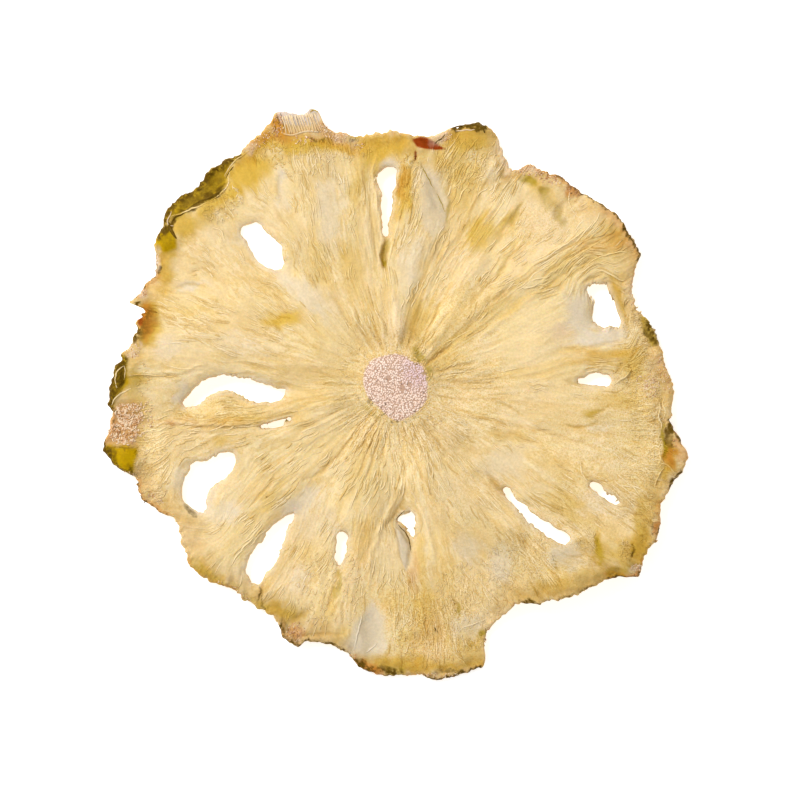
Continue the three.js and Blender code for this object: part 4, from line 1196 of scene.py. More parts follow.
SPOKES = 1280  # grid points on the outermost rings
RING_STEP = 1.0 / 82  # of the way from the core to the rim
COARSE = 1.3  # mm between the underside's points
SNAP = 0.04  # mm, how near a lip a grid point has to be to count as on it
BAKE_REACH = 46.5  # mm from the origin to the edge of the bake map


def ring_plan():
    """The rings from the core's middle out: share (negative inside the core) and vertices, twice
    as many each time the rings have grown long, with the last rings close together."""
    plan = [(-1 + part, 160) for part in (0.3, 0.6)]
    plan += [(-1 + part, 320) for part in (0.85, 0.97)]
    share = 0.0
    while share < 0.978:
        plan.append((share, 320 if share < 0.13 else 640 if share < 0.40 else SPOKES))
        share += RING_STEP if share < 0.88 else RING_STEP / 2
    plan += [(share, SPOKES) for share in (0.984, 0.990, 0.995, 0.998, 1.0)]
    return plan


def sheet_grid():
    """Turn and share of every grid point, the triangles between them seen from above, and
    which points the coarser underside keeps."""
    turns = [np.zeros(1)]
    shares = [np.full(1, -1.0)]
    kept = [np.ones(1, bool)]
    rings = []
    first = 1
    for number, (share, count) in enumerate(ring_plan()):
        radius = CORE_REACH + (FLESH_REACH if share >= 0 else CORE_REACH) * share
        stride = max(1, round(COARSE * count / (TURN * radius)))
        turns.append(np.arange(count) / count)
        shares.append(np.full(count, share))
        kept.append((np.arange(count) % stride == 0) & (number % 3 == 0))
        rings.append((first, count))
        first += count
    start, count = rings[0]
    here = np.arange(count)
    faces = [np.column_stack((np.zeros(count, int), start + here, start + (here + 1) % count))]
    for (low, few), (high, many) in zip(rings, rings[1:]):
        i = np.arange(few)
        a, b = low + i, low + (i + 1) % few
        if few == many:
            c, d = high + i, high + (i + 1) % many
            faces += [np.column_stack((a, c, d)), np.column_stack((a, d, b))]
        else:
            c, d, e = (high + (2 * i + k) % many for k in range(3))
            faces += [np.column_stack(f) for f in ((a, c, d), (a, d, b), (b, d, e))]
    return np.concatenate(turns), np.concatenate(shares), np.vstack(faces), np.concatenate(kept)


def cut_slits(fields, faces):
    """Drops what lies inside the slits. Cut edges end on the lips, where the gap is zero."""
    gap = fields["slit_gap"].copy()
    gap[np.abs(gap) < SNAP] = 0.0
    sign = np.sign(gap)[faces]
    whole = faces[(sign >= 0).all(1) & (sign > 0).any(1)]
    mixed = faces[(sign < 0).any(1) & (sign > 0).any(1)]
    made = {}
    extra = []
    for face in mixed.tolist():
        ring = []
        for a, b in zip(face, face[1:] + face[:1]):
            if gap[a] >= 0:
                ring.append(a)
            if gap[a] * gap[b] < 0:
                edge = (min(a, b), max(a, b))
                ring.append(made.setdefault(edge, len(gap) + len(made)))
        extra += [(ring[0], ring[k], ring[k + 1]) for k in range(1, len(ring) - 1)]
    a, b = np.array(list(made)).T
    part = gap[a] / (gap[a] - gap[b])
    cut = {}
    for name, values in fields.items():
        p = part[:, None] if values.ndim == 2 else part
        cut[name] = np.concatenate((values, values[a] * (1 - p) + values[b] * p))
    cut["slit_gap"][len(gap):] = 0.0
    return cut, np.vstack((whole, np.array(extra, int)))


def largest_part(faces):
    """The faces that hang together with the core, without loose islands inside the slits."""
    label = np.arange(faces.max() + 1)
    while True:
        least = label[faces].min(1)
        new = label.copy()
        for k in range(3):
            np.minimum.at(new, faces[:, k], least)
        new = new[new]
        if (new == label).all():
            break
        label = new
    group = label[faces[:, 0]]
    names, times = np.unique(group, return_counts=True)
    return faces[group == names[times.argmax()]]


def boundary_loops(faces):
    """The rim and the lips as closed chains of vertices."""
    edges = np.vstack([faces[:, (k, (k + 1) % 3)] for k in range(3)])
    span = edges.max() + 1
    keys = edges[:, 0] * span + edges[:, 1]
    single = ~np.isin(keys, edges[:, 1] * span + edges[:, 0])
    following = {}
    for a, b in edges[single].tolist():
        following.setdefault(a, []).append(b)
    chains = []
    while following:
        start = next(iter(following))
        chain = [start]
        while True:
            ways = following[chain[-1]]
            here = ways.pop()
            if not ways:
                del following[chain[-1]]
            if here == start:
                break
            chain.append(here)
        chains.append(chain)
    return chains


def underside_faces(xy, chains, inner):
    """Triangles for the underside between the rim, the lips and a few inner points."""
    ids = np.array([v for chain in chains for v in chain] + list(inner))
    edges = []
    for chain in chains:
        first = len(edges)
        edges += [(first + k, first + (k + 1) % len(chain)) for k in range(len(chain))]
    result = delaunay_2d_cdt([Vector(p) for p in xy[ids]], edges, [], 0, 1e-7)
    source = np.array([origin[0] if origin else -1 for origin in result[3]])
    made = np.array([face for face in result[2] if len(face) == 3])
    made = made[(source[made] >= 0).all(1)]
    below = ids[source[made]]
    centres = xy[below].mean(1)
    *lips, rim = sorted(chains, key=len)
    inside = loop_inside(centres, xy[rim])
    for lip in lips:
        inside &= ~loop_inside(centres, xy[lip])
    below = below[inside]
    a, b, c = (xy[below[:, k]] for k in range(3))
    face_up = np.cross(b - a, c - a) > 0
    below[face_up] = below[face_up][:, ::-1]
    return below


# ---------------------------------------------------------------- objects and their looks


def make_object(name, points, faces, material, smooth=True):
    """A mesh object from points in mm and faces."""
    mesh = bpy.data.meshes.new(name)
    mesh.from_pydata((np.asarray(points) * MM).tolist(), [], np.asarray(faces).tolist())
    mesh.materials.append(material)
    if smooth:
        mesh.shade_smooth()
    obj = bpy.data.objects.new(name, mesh)
    bpy.context.scene.collection.objects.link(obj)
    return obj


def add_attribute(obj, name, values):
    kind, field = ("FLOAT_VECTOR", "vector") if values.ndim == 2 else ("FLOAT", "value")
    layer = obj.data.attributes.new(name, kind, "POINT")
    layer.data.foreach_set(field, values.ravel().astype(np.float32))


def add_looks(obj, fields, pick=slice(None), **extra):
    """The attributes that the flesh material reads, for these of the fields' places."""
    names = KINDS + ("fibres", "painted_shade", "light", "radius", "rim_gap", "fibre_place")
    looks = {name: fields[name][pick] for name in names}
    looks["lip"] = 1 - smoothstep(0.0, 0.9, fields["slit_gap"])[pick]
    looks["core"] = (looks["fibre_place"][:, 2] < -0.005).astype(float)
    # painted shadow beside the bunches' fibres
    looks["fibre_shadow"] = BUNCHES.shadow_at(fields["xy"])[pick]
    looks.update(extra)
    for name, values in looks.items():
        add_attribute(obj, name, values)


def fields_at(xy):
    """What the flesh material needs at places given by xy alone."""
    offset = xy - CORE
    angle = np.arctan2(offset[:, 1], offset[:, 0])
    radius = np.hypot(*offset.T)
    outer = lookup(RIM_RADIUS, angle) + rim_crumple(angle)
    share = np.clip((radius - CORE_REACH) / (outer - CORE_REACH), 0.02, 1.0)
    none = np.zeros(len(xy))
    return {
        "xy": xy,
        "radius": radius,
        "rim_gap": outer - radius,
        "slit_gap": slit_distance(xy),
        "fibres": none,
        "painted_shade": none,
        "light": none,
        "fibre_place": fibre_place(angle, share),
        **colour_masks(xy, (angle / TURN) % 1.0, share, angle, outer - radius),
    }


def add_bake_map(obj, upper):
    """A flat UV map: the top takes most of the square, the underside a corner."""
    mesh = obj.data
    layer = mesh.uv_layers.new(name="OFBake")
    corners = np.empty(len(mesh.loops), int)
    mesh.loops.foreach_get("vertex_index", corners)
    spots = np.empty(len(mesh.vertices) * 3)
    mesh.vertices.foreach_get("co", spots)
    spots = (spots.reshape(-1, 3)[:, :2] / MM / BAKE_REACH + 1) / 2
    is_upper = np.repeat(upper, 3)[:, None]
    in_map = np.where(is_upper, 0.01 + 0.68 * spots[corners], 0.71 + 0.28 * spots[corners])
    layer.data.foreach_set("uv", in_map.ravel().astype(np.float32))


def build_sheet(material):
    """The whole sheet as one closed mesh: a fine top, and a coarse underside joined to it at the
    rim and the lips."""
    turn, share, faces, coarse = sheet_grid()
    fields = sheet(turn, share)
    fields["coarse"] = coarse.astype(float)
    fields, faces = cut_slits(fields, faces)
    faces = largest_part(faces)
    chains = boundary_loops(faces)
    edge = np.zeros(len(fields["xy"]), bool)
    edge[np.concatenate(chains)] = True
    used = np.zeros(len(edge), bool)
    used[faces] = True
    roomy = (fields["slit_gap"] > 0.8) & (fields["rim_gap"] > 0.8) & (fields["coarse"] > 0.99)
    inner = np.flatnonzero(used & roomy & ~edge)
    below = underside_faces(fields["xy"], chains, inner)
    top = np.column_stack((fields["xy"], fields["top"]))
    top[edge, 2] = ((fields["top"] + fields["bottom"]) / 2)[edge]
    bottom = np.column_stack((fields["xy"], fields["bottom"]))[inner]
    lower_name = np.arange(len(top))
    lower_name[inner] = len(top) + np.arange(len(inner))
    points = np.vstack((top, bottom))
    source = np.concatenate((np.arange(len(top)), inner))
    both = np.vstack((faces, lower_name[below]))
    held, both = np.unique(both, return_inverse=True)
    both = both.reshape(-1, 3)
    obj = make_object("dried_flesh_sheet", points[held], both, material)
    add_looks(obj, fields, source[held])
    add_bake_map(obj, np.arange(len(both)) < len(faces))
    return obj


# ---------------------------------------------------------------- materials


def srgb(code):
    """A #rrggbb colour as linear RGBA."""
    parts = [int(code[i:i + 2], 16) / 255 for i in (1, 3, 5)]
    return tuple(p / 12.92 if p <= 0.04045 else ((p + 0.055) / 1.055) ** 2.4 for p in parts) + (1.0,)


class Nodes:
    """A short way to write a node tree."""

    def __init__(self, name):
        self.material = bpy.data.materials.new(name)
        self.material.use_nodes = True
        self.tree = self.material.node_tree
        self.tree.nodes.clear()
        self.output = self.tree.nodes.new("ShaderNodeOutputMaterial")
        self.shader = self.tree.nodes.new("ShaderNodeBsdfPrincipled")
        self.tree.links.new(self.shader.outputs[0], self.output.inputs[0])

    def put(self, socket, value):
        """Links a node's output to a socket, or sets the socket's own value."""
        if isinstance(value, bpy.types.NodeSocket):
            self.tree.links.new(value, socket)
        else:
            socket.default_value = value

    def shade(self, **values):
        """Fills the shader's sockets, named with _ for each space, and returns the material."""
        for name, value in values.items():
            self.put(self.shader.inputs[name.replace("_", " ")], value)
        return self.material

    def node(self, kind, inputs, output=0, **settings):
        """Adds a node, its inputs given by name or number, and returns one of its outputs."""
        node = self.tree.nodes.new("ShaderNode" + kind)
        for name, value in settings.items():
            setattr(node, name, value)
        for key, value in inputs.items():
            self.put(node.inputs[key], value)
        return node.outputs[output]

    def attribute(self, name, output="Fac"):
        return self.node("Attribute", {}, output, attribute_name=name)

    def object_place(self):
        return self.node("TexCoord", {}, "Object")

    def noise(self, vector, scale, detail=2.0, rough=0.5, output="Fac"):
        inputs = {"Vector": vector, "Scale": scale, "Detail": detail, "Roughness": rough}
        return self.node("TexNoise", inputs, output)

    def noise_vector(self, vector, scale):
        """Three noises as a vector about zero."""
        return self.added(self.noise(vector, scale, 1.0, output="Color"), (-0.5, -0.5, -0.5))

    def math(self, operation, *values):
        return self.node("Math", dict(enumerate(values)), operation=operation)

    def times(self, a, b):
        return self.math("MULTIPLY", a, b)

    def vector_math(self, operation, *values):
        return self.node("VectorMath", dict(enumerate(values)), operation=operation)

    def scaled(self, vector, scale):
        return self.vector_math("MULTIPLY", vector, scale)

    def added(self, vector, other):
        return self.vector_math("ADD", vector, other)

    def ranged(self, value, low, high, to_low=0.0, to_high=1.0):
        """The value eased from between low and high to between to_low and to_high."""
        inputs = dict(enumerate((value, low, high, to_low, to_high)))
        return self.node("MapRange", inputs, interpolation_type="SMOOTHSTEP")

    def blend(self, share, a, b):
        """A number between a and b."""
        return self.node("Mix", {0: share, 2: a, 3: b})

    def mix(self, share, a, b, kind="MIX"):
        """A colour between a and b."""
        return self.node("Mix", {0: share, 6: a, 7: b}, 2, data_type="RGBA", blend_type=kind)

    def tint(self, colour, amount, factor):
        """The colour times factor, as far as amount says."""
        return self.mix(1.0, colour, self.mix(amount, NO_CHANGE, factor), "MULTIPLY")

    def bump(self, height, strength, distance, **under):
        """A normal with this height on it, and on the Normal under it where there is one."""
        inputs = {"Height": height, "Strength": strength, "Distance": distance, **under}
        return self.node("Bump", inputs, "Normal")


# The flesh's colours: its own, and one for each kind of patch that has a colour
CREAM = srgb("#e5ce9e")
HONEY = srgb("#ddbb76")
CRUST = srgb("#b5814a")
CORE_BED = srgb("#c5a18a")
TONES = {
    "gold": srgb("#cfa726"),
    "bright": srgb("#f2daa8"),
    "pale": srgb("#e6cda2"),
    "veil": srgb("#dfd1ba"),
    "rust": srgb("#bd7420"),
    "olive_and_shadow": srgb("#a68a00"),
    "grey": srgb("#cdc2bc"),
    "moss": srgb("#b38f00"),
    "crumb": srgb("#bf8d56"),
    "brown_and_shadow": srgb("#5f4608"),
    "red": srgb("#943c08"),
    "white": srgb("#dfc4a4"),
}

# What a colour is multiplied by: painted shade (partly a duller tan flesh), a darker tone near the rim,
# painted highlight with paler colour, painted shade in creases, painted thin shadow lines and dark flecks,
# and warm painted shade in hollows
SHADE = (0.80, 0.78, 0.72, 1.0)
RIM_TONE = (0.88, 0.82, 0.72, 1.0)
PALE_AND_HIGHLIGHT = (1.10, 1.13, 1.20, 1.0)
PAINTED_SHADE_TINT = (0.78, 0.66, 0.38, 1.0)
THREAD_SHADE = (0.88, 0.77, 0.50, 1.0)
WARM_SHADE = (0.96, 0.89, 0.66, 1.0)
NO_CHANGE = (1.0, 1.0, 1.0, 1.0)


def crumpled(n, fibre, radius):
    """Fine crumples along the fibres, 0 to 1, about as wide near the core as far out."""
    layers = None
    for scale, low, high in ((14.0, 0.0, 0.0), (34.0, 7.0, 13.0), (66.0, 19.0, 28.0)):
        layer = n.noise(n.scaled(fibre, (scale, scale, 22.0)), 1.0, 2.0, 0.55)
        layers = layer if layers is None else n.blend(n.ranged(radius, low, high), layers, layer)
    return layers


def flesh_material(name, subsurface):
    """Dried flesh. Subsurface is left out of pieces half sunk in others, which it would darken."""
    n = Nodes(name)
    spot = n.object_place()
    radius = n.attribute("radius")
    fibres = n.attribute("fibres")
    veil = n.attribute("veil")
    moss = n.attribute("moss")
    brown_and_shadow = n.attribute("brown_and_shadow")

    wobble = n.noise_vector(spot, 420.0)
    fibre = n.added(n.attribute("fibre_place", "Vector"), n.scaled(wobble, (0.03, 0.03, 0.02)))
    curls = n.scaled(n.noise_vector(spot, 1300.0), n.attribute("grit"))
    fibre = n.added(fibre, n.scaled(curls, (0.024, 0.024, 0.012)))
    streaks = n.noise(n.scaled(fibre, (13.0, 13.0, 2.5)), 1.0, 4.0, 0.55)
    cloud = n.noise(spot, 150.0, 3.0, 0.55)
    specks = n.noise(spot, 2600.0, 2.0, 0.6)
    flecks = n.noise(spot, 4300.0, 2.0, 0.6)
    granules = n.noise(spot, 1500.0, 2.0, 0.65)
    patchy = n.ranged(n.noise(spot, 330.0, 2.0), 0.42, 0.60)
    sparse = n.ranged(n.noise(spot, 210.0, 2.0), 0.44, 0.60, 0.15, 1.0)

    grit = n.times(n.attribute("grit"), n.ranged(veil, 0.2, 0.8, 1.0, 0.2))
    calm = n.times(sparse, n.ranged(veil, 0.2, 0.8, 1.0, 0.15))
    calm = n.times(calm, n.ranged(n.attribute("smooth"), 0.1, 0.9, 1.0, 0.2))
    rim_gap = n.math("ADD", n.attribute("rim_gap"), n.ranged(granules, 0.3, 0.7, -0.35, 0.35))
    crust = n.ranged(rim_gap, 0.1, 0.9, 1.0, 0.0)
    wavy_gap = n.math("ADD", rim_gap, n.ranged(cloud, 0.3, 0.7, -1.2, 1.2))
    toned = n.times(n.ranged(wavy_gap, 0.8, 4.2, 1.0, 0.0), n.ranged(moss, 0.0, 1.0, 1.0, 0.0))
    crumple = crumpled(n, fibre, radius)
    # Painted light and shade of the fine crumples: a highlight on their crests, thin shadow lines, and
    # shade in their hollows
    crests = n.times(calm, n.ranged(crumple, 0.50, 0.60))
    off_line = n.math("ABSOLUTE", n.math("SUBTRACT", crumple, 0.47))
    threads = n.times(calm, n.ranged(off_line, 0.0, 0.035, 1.0, 0.0))
    hollows = n.times(calm, n.ranged(crumple, 0.36, 0.48, 1.0, 0.0))

    def laid(colour, kind):
        return n.mix(n.attribute(kind), colour, TONES[kind])

    colour = n.mix(n.ranged(streaks, 0.40, 0.66, 0.0, 0.6), CREAM, HONEY)
    colour = n.mix(n.ranged(cloud, 0.40, 0.68, 0.0, 0.45), colour, TONES["pale"])
    colour = n.mix(n.times(n.attribute("gold"), 0.85), colour, TONES["gold"])
    for kind in ("bright", "pale", "veil"):
        colour = laid(colour, kind)
    colour = n.mix(n.times(n.attribute("lip"), 0.5), colour, TONES["veil"])
    # In order: the painted shade patches, the darker rim, painted shade low and a painted highlight high
    # in the fibre relief, the same on the crumples with their thin shadow lines, the bunches' painted
    # shadow, painted shade and highlight on the grit's flecks
    for amount, factor in (
        (n.attribute("shade"), SHADE),
        (toned, RIM_TONE),
        (n.ranged(fibres, -0.2, 0.08, 0.8, 0.0), WARM_SHADE),
        (n.ranged(fibres, 0.08, 0.3, 0.0, 0.6), PALE_AND_HIGHLIGHT),
        (n.times(hollows, 0.45), WARM_SHADE),
        (n.times(crests, 0.6), PALE_AND_HIGHLIGHT),
        (n.times(threads, 0.7), THREAD_SHADE),
        (n.times(n.attribute("fibre_shadow"), 0.3), WARM_SHADE),
        (n.times(grit, n.ranged(flecks, 0.37, 0.48, 1.0, 0.0)), THREAD_SHADE),
        (n.times(grit, n.ranged(flecks, 0.52, 0.62, 0.0, 0.9)), PALE_AND_HIGHLIGHT),
        # painted highlight from the ridges and on the backs of the loose fibres and curls, paler colour on
        # the pale threads and beads
        (n.attribute("light"), PALE_AND_HIGHLIGHT),
        # painted shade from the creases, and on the sides of the loose fibres and curls
        (n.attribute("painted_shade"), PAINTED_SHADE_TINT),
    ):
        colour = n.tint(colour, amount, factor)
    colour = n.mix(n.attribute("core"), colour, CORE_BED)
    crusty = n.times(crust, n.math("MAXIMUM", patchy, 0.4))
    colour = n.mix(n.times(crusty, n.ranged(granules, 0.42, 0.6, 0.0, 0.7)), colour, CRUST)
    for kind in ("rust", "olive_and_shadow", "grey", "moss", "crumb"):
        colour = laid(colour, kind)
    speckle = n.times(n.ranged(granules, 0.3, 0.7, -1.0, 1.0), n.ranged(rim_gap, 0.3, 1.4, 0.4, 0.1))
    mottled = n.ranged(n.math("ADD", brown_and_shadow, speckle), 0.05, 0.95)
    colour = n.mix(n.times(n.ranged(brown_and_shadow, 0.0, 0.2), mottled), colour, TONES["brown_and_shadow"])
    for kind in ("red", "white"):
        colour = laid(colour, kind)
    colour = n.mix(1.0, colour, n.ranged(specks, 0.3, 0.75, 0.93, 1.05), "MULTIPLY")

    relief = n.bump(n.times(crumple, calm), 0.5, 0.0002)
    relief = n.bump(n.times(granules, crust), 0.7, 0.0003, Normal=relief)
    relief = n.bump(n.times(flecks, grit), 0.5, 0.00008, Normal=relief)
    relief = n.bump(specks, 0.3, 0.00005, Normal=relief)
    return n.shade(
        Base_Color=colour,
        Roughness=0.6,
        Specular_IOR_Level=0.05,
        Subsurface_Weight=subsurface,
        Subsurface_Radius=(1.0, 0.65, 0.3),
        Subsurface_Scale=0.0007,
        Normal=relief,
    )


def fine_grain(n, scale):
    """A slight roughness to the touch, as a normal."""
    return n.bump(n.noise(n.object_place(), scale, 2.0), 0.3, 0.00004)


def core_material():
    n = Nodes("core_end_grain")
    patchy = n.noise(n.object_place(), 900.0, 2.0)
    colour = n.mix(n.ranged(patchy, 0.3, 0.7), srgb("#fae6d6"), srgb("#f0d5c2"))
    colour = n.mix(n.times(n.attribute("cool"), 0.7), colour, srgb("#e3c6cc"))
    colour = n.mix(n.attribute("outside"), colour, srgb("#dfbd78"))
    # The grains' feet take the darker bed colour: painted shade between the grains
    colour = n.mix(n.times(n.attribute("low"), 0.75), colour, CORE_BED)
    # painted shade on the grains in the pits
    colour = n.mix(n.times(n.attribute("shaded_pit"), 0.9), colour, srgb("#5e4630"))
    return n.shade(
        Base_Color=colour, Roughness=0.7, Specular_IOR_Level=0.25, Normal=fine_grain(n, 6000.0)
    )


def granule_material():
    n = Nodes("rind_granule")
    tint = n.attribute("tint")
    colour = n.mix(n.ranged(tint, 0.0, 0.45), srgb("#ecd4b2"), srgb("#c48f5c"))
    colour = n.mix(n.ranged(tint, 0.45, 1.0), colour, srgb("#6e4416"))
    cloud = n.noise(n.object_place(), 1200.0, 2.0)
    colour = n.mix(n.ranged(cloud, 0.35, 0.7, 0.0, 0.35), colour, srgb("#d9a878"))
    return n.shade(
        Base_Color=colour, Roughness=0.65, Specular_IOR_Level=0.3, Normal=fine_grain(n, 7000.0)
    )


# ---------------------------------------------------------------- tubes and where they lie


class Surface:
    """The finished sheet, to lay things on."""

    def __init__(self, obj):
        points = [v.co / MM for v in obj.data.vertices]
        self.tree = BVHTree.FromPolygons(points, [p.vertices[:] for p in obj.data.polygons])

    def heights(self, xy):
        """The sheet's top at each place, and which places have flesh under them."""
        down = Vector((0, 0, -1))
        hits = [self.tree.ray_cast(Vector((x, y, 30.0)), down)[0] for x, y in xy]
        there = np.array([hit is not None for hit in hits])
        return np.array([hit.z if hit else 0.0 for hit in hits]), there


def raised(paths, heights):
    """Flat paths with these heights: tubes x points x 3."""
    return np.concatenate((paths, heights[..., None]), axis=2)


def tube_mesh(lines, radii, sides, flat):
    """Closed tapering tubes, as points, triangles and each point's place in the flattened lines.
    lines is tubes x points x 3, radii is tubes x points, flat is their height over their width."""
    count, length = lines.shape[:2]
    along = np.gradient(lines, axis=1)
    along /= np.linalg.norm(along, axis=2, keepdims=True) + 1e-9
    side = np.cross(along, (0.0, 0.0, 1.0))
    side /= np.linalg.norm(side, axis=2, keepdims=True) + 1e-9
    up = np.cross(side, along)
    turn = np.arange(sides) * TURN / sides
    ring = (
        side[:, :, None] * np.cos(turn)[:, None] + up[:, :, None] * np.sin(turn)[:, None] * flat
    ) * radii[:, :, None, None]
    points = (lines[:, :, None] + ring).reshape(count, length * sides, 3)
    ends = lines[:, (0, -1)] + along[:, (0, -1)] * radii[:, (0, -1), None] * ((-1.0,), (1.0,))
    points = np.concatenate((points, ends), axis=1)
    k = np.arange(sides)
    after = (k + 1) % sides
    faces = []
    for level in range(length - 1):
        a, b = level * sides + k, level * sides + after
        faces += [np.column_stack((a, a + sides, b + sides)), np.column_stack((a, b + sides, b))]
    tip = length * sides
    last = (length - 1) * sides
    faces.append(np.column_stack((np.full(sides, tip), k, after)))
    faces.append(np.column_stack((np.full(sides, tip + 1), last + after, last + k)))
    one = np.vstack(faces)
    per = points.shape[1]
    every = (one[None] + (np.arange(count) * per)[:, None, None]).reshape(-1, 3)
    owner = np.minimum(np.arange(per) // sides, length - 1)
    owner[tip] = 0
    source = (np.arange(count)[:, None] * length + owner).ravel()
    return points.reshape(-1, 3), every, source


def crest_share(count, length, sides):
    """For each vertex of tube_mesh, 1 on a tube's back and 0 at its sides and ends."""
    ring = np.clip(np.sin(np.arange(sides) * TURN / sides), 0.0, 1.0)
    ring /= ring.max()
    return np.tile(np.concatenate((np.tile(ring, length), (0.0, 0.0))), count)


def resample_open(path, count):
    """An open polyline as a smooth line of count points."""
    for _ in range(3):
        mids = 0.75 * path[:-1] + 0.25 * path[1:], 0.25 * path[:-1] + 0.75 * path[1:]
        path = np.vstack((path[:1], np.stack(mids, 1).reshape(-1, 2), path[-1:]))
    return points_along(path, np.linspace(0, distances_along(path)[-1], count))


# ---------------------------------------------------------------- the core's end grain

# Pits between the core's grains, where the grains sink and are painted dark as shade: place in photo
# pixels and size in mm
CORE_PITS = [
    ((388.3, 378.3), 0.32), ((403.3, 388.4), 0.30), ((402.8, 391.0), 0.28), ((409.0, 384.4), 0.26),
    ((385.0, 387.0), 0.14), ((375.5, 368.0), 0.15), ((376.7, 381.7), 0.14), ((382.0, 358.0), 0.15),
    ((415.5, 411.0), 0.16), ((397.8, 421.0), 0.18), ((387.0, 366.0), 0.12), ((406.7, 380.0), 0.13),
    ((370.5, 365.0), 0.13), ((393.0, 394.0), 0.12), ((382.0, 413.5), 0.20), ((373.0, 404.0), 0.18),
    ((411.0, 360.0), 0.22), ((424.5, 373.0), 0.20), ((399.0, 372.0), 0.11), ((380.0, 397.0), 0.12),
]
COOL_SPOT = (420, 370)  # where the core's grains look bluish, in photo pixels
GRAIN_SPACING = 0.33  # mm


def core_grains(material):
    """Short curled fibre ends, packed over the core and scattered just past its edge."""
    rng = np.random.default_rng(401)
    row, column = np.mgrid[-22:23, -22:23].reshape(2, -1)
    spots = np.column_stack((column + 0.5 * (row % 2), 0.87 * row)) * GRAIN_SPACING
    spots = spots + rng.normal(0, 0.07, spots.shape)
    past = np.hypot(*spots.T) - lookup(CORE_RADIUS, np.arctan2(spots[:, 1], spots[:, 0]))
    held = past < np.abs(rng.normal(0, 0.6, len(spots))) - 0.1
    spots, past = spots[held] + CORE, past[held]
    length = 5
    step = np.linspace(-1, 1, length)
    count = len(spots)
    # How far each grain lies in a pit: it sinks there and takes painted shade
    shaded_pit = np.zeros(count)
    for pit, size in CORE_PITS:
        away = np.hypot(*(spots - place(pit)).T) / size
        shaded_pit = np.maximum(shaded_pit, 1 - smoothstep(0.8, 1.5, away))
    shaded_pit = np.maximum(shaded_pit, rng.uniform(0.5, 1.0, count) * (rng.random(count) < 0.05))
    heading = rng.random(count) * math.pi
    local = heading[:, None] + rng.normal(0, 0.7, count)[:, None] * step
    long = rng.uniform(0.14, 0.42, count)[:, None, None]
    paths = np.cumsum(np.stack((np.cos(local), np.sin(local)), 2) * long / length, axis=1)
    paths += spots[:, None] - paths.mean(1, keepdims=True)
    middle, thickness = HEIGHTS.at(paths.reshape(-1, 2))
    base = middle + thickness / 2
    radii = rng.uniform(0.12, 0.17, count)[:, None] * (1 - 0.35 * step**4)
    lift = (rng.uniform(-0.07, 0.03, count) - 0.12 * shaded_pit)[:, None]
    lines = raised(paths, base.reshape(count, length) + lift)
    points, faces, source = tube_mesh(lines, radii, 6, 0.9)
    obj = make_object("core_end_grain", points, faces, material)
    depth = points[:, 2] - base[source]
    # Painted shade at the grains' feet, where they meet the bed
    add_attribute(obj, "low", 1 - smoothstep(-0.12, 0.0, depth))
    from_cool = np.hypot(*(points[:, :2] - place(COOL_SPOT)).T)
    add_attribute(obj, "cool", 1 - smoothstep(1.0, 4.5, from_cool))
    add_attribute(obj, "shaded_pit", np.repeat(shaded_pit, length)[source])
    add_attribute(obj, "outside", np.repeat(smoothstep(-0.25, 0.2, past), length)[source])
    return obj


# ---------------------------------------------------------------- loose fibres and crumbs

LEFT_OUT = 30  # one fibre in so many, to keep the piece under 200,000 triangles
OFF_RIM = 9.0  # mm, a gap to the rim that keeps the rim's crust off a thread


def loose_fibres(material, surface):
    """The bunches' pale fibres, half sunk in the flesh, with a painted highlight on their backs and golden
    painted shade on their sides where they meet it.
    """
    lines = BUNCHES.lines
    count, length = lines.shape[:2]
    rng = np.random.default_rng(505)
    step = np.linspace(0, 1, length)
    heights, there = surface.heights(lines.reshape(-1, 2))
    heights, there = heights.reshape(count, length), there.reshape(count, length)
    whole = there.all(1) & (np.arange(count) % LEFT_OUT > 0)
    radii = rng.uniform(0.10, 0.155, count)[:, None] * tapered(step, 0.05)
    lines, heights, radii = lines[whole], heights[whole], radii[whole]
    sides = 6
    points, faces, source = tube_mesh(raised(lines, heights + 0.12 * radii), radii, sides, 0.55)
    crest = crest_share(len(lines), length, sides)
    pale = rng.random(len(lines)) > 0.3
    bright = np.repeat(rng.uniform(0.1, 0.9, len(lines)) * pale, length)[source]
    shaded_share = np.repeat(rng.uniform(0.3, 0.8, len(lines)) * ~pale, length)[source]
    obj = make_object("loose_fibres", points, faces, material)
    # Painted light and shade: a highlight along the backs of the pale fibres, shade along every fibre's
    # sides, and shade along the backs of the rest
    looks = {
        "fibre_shadow": np.zeros(len(points)),
        "light": bright * crest,
        "fibres": -0.2 + 0.35 * crest,
        "painted_shade": 0.35 * (1 - crest) + shaded_share * crest,
    }
    add_looks(obj, fields_at(lines.reshape(-1, 2)), source, **looks)
    return obj


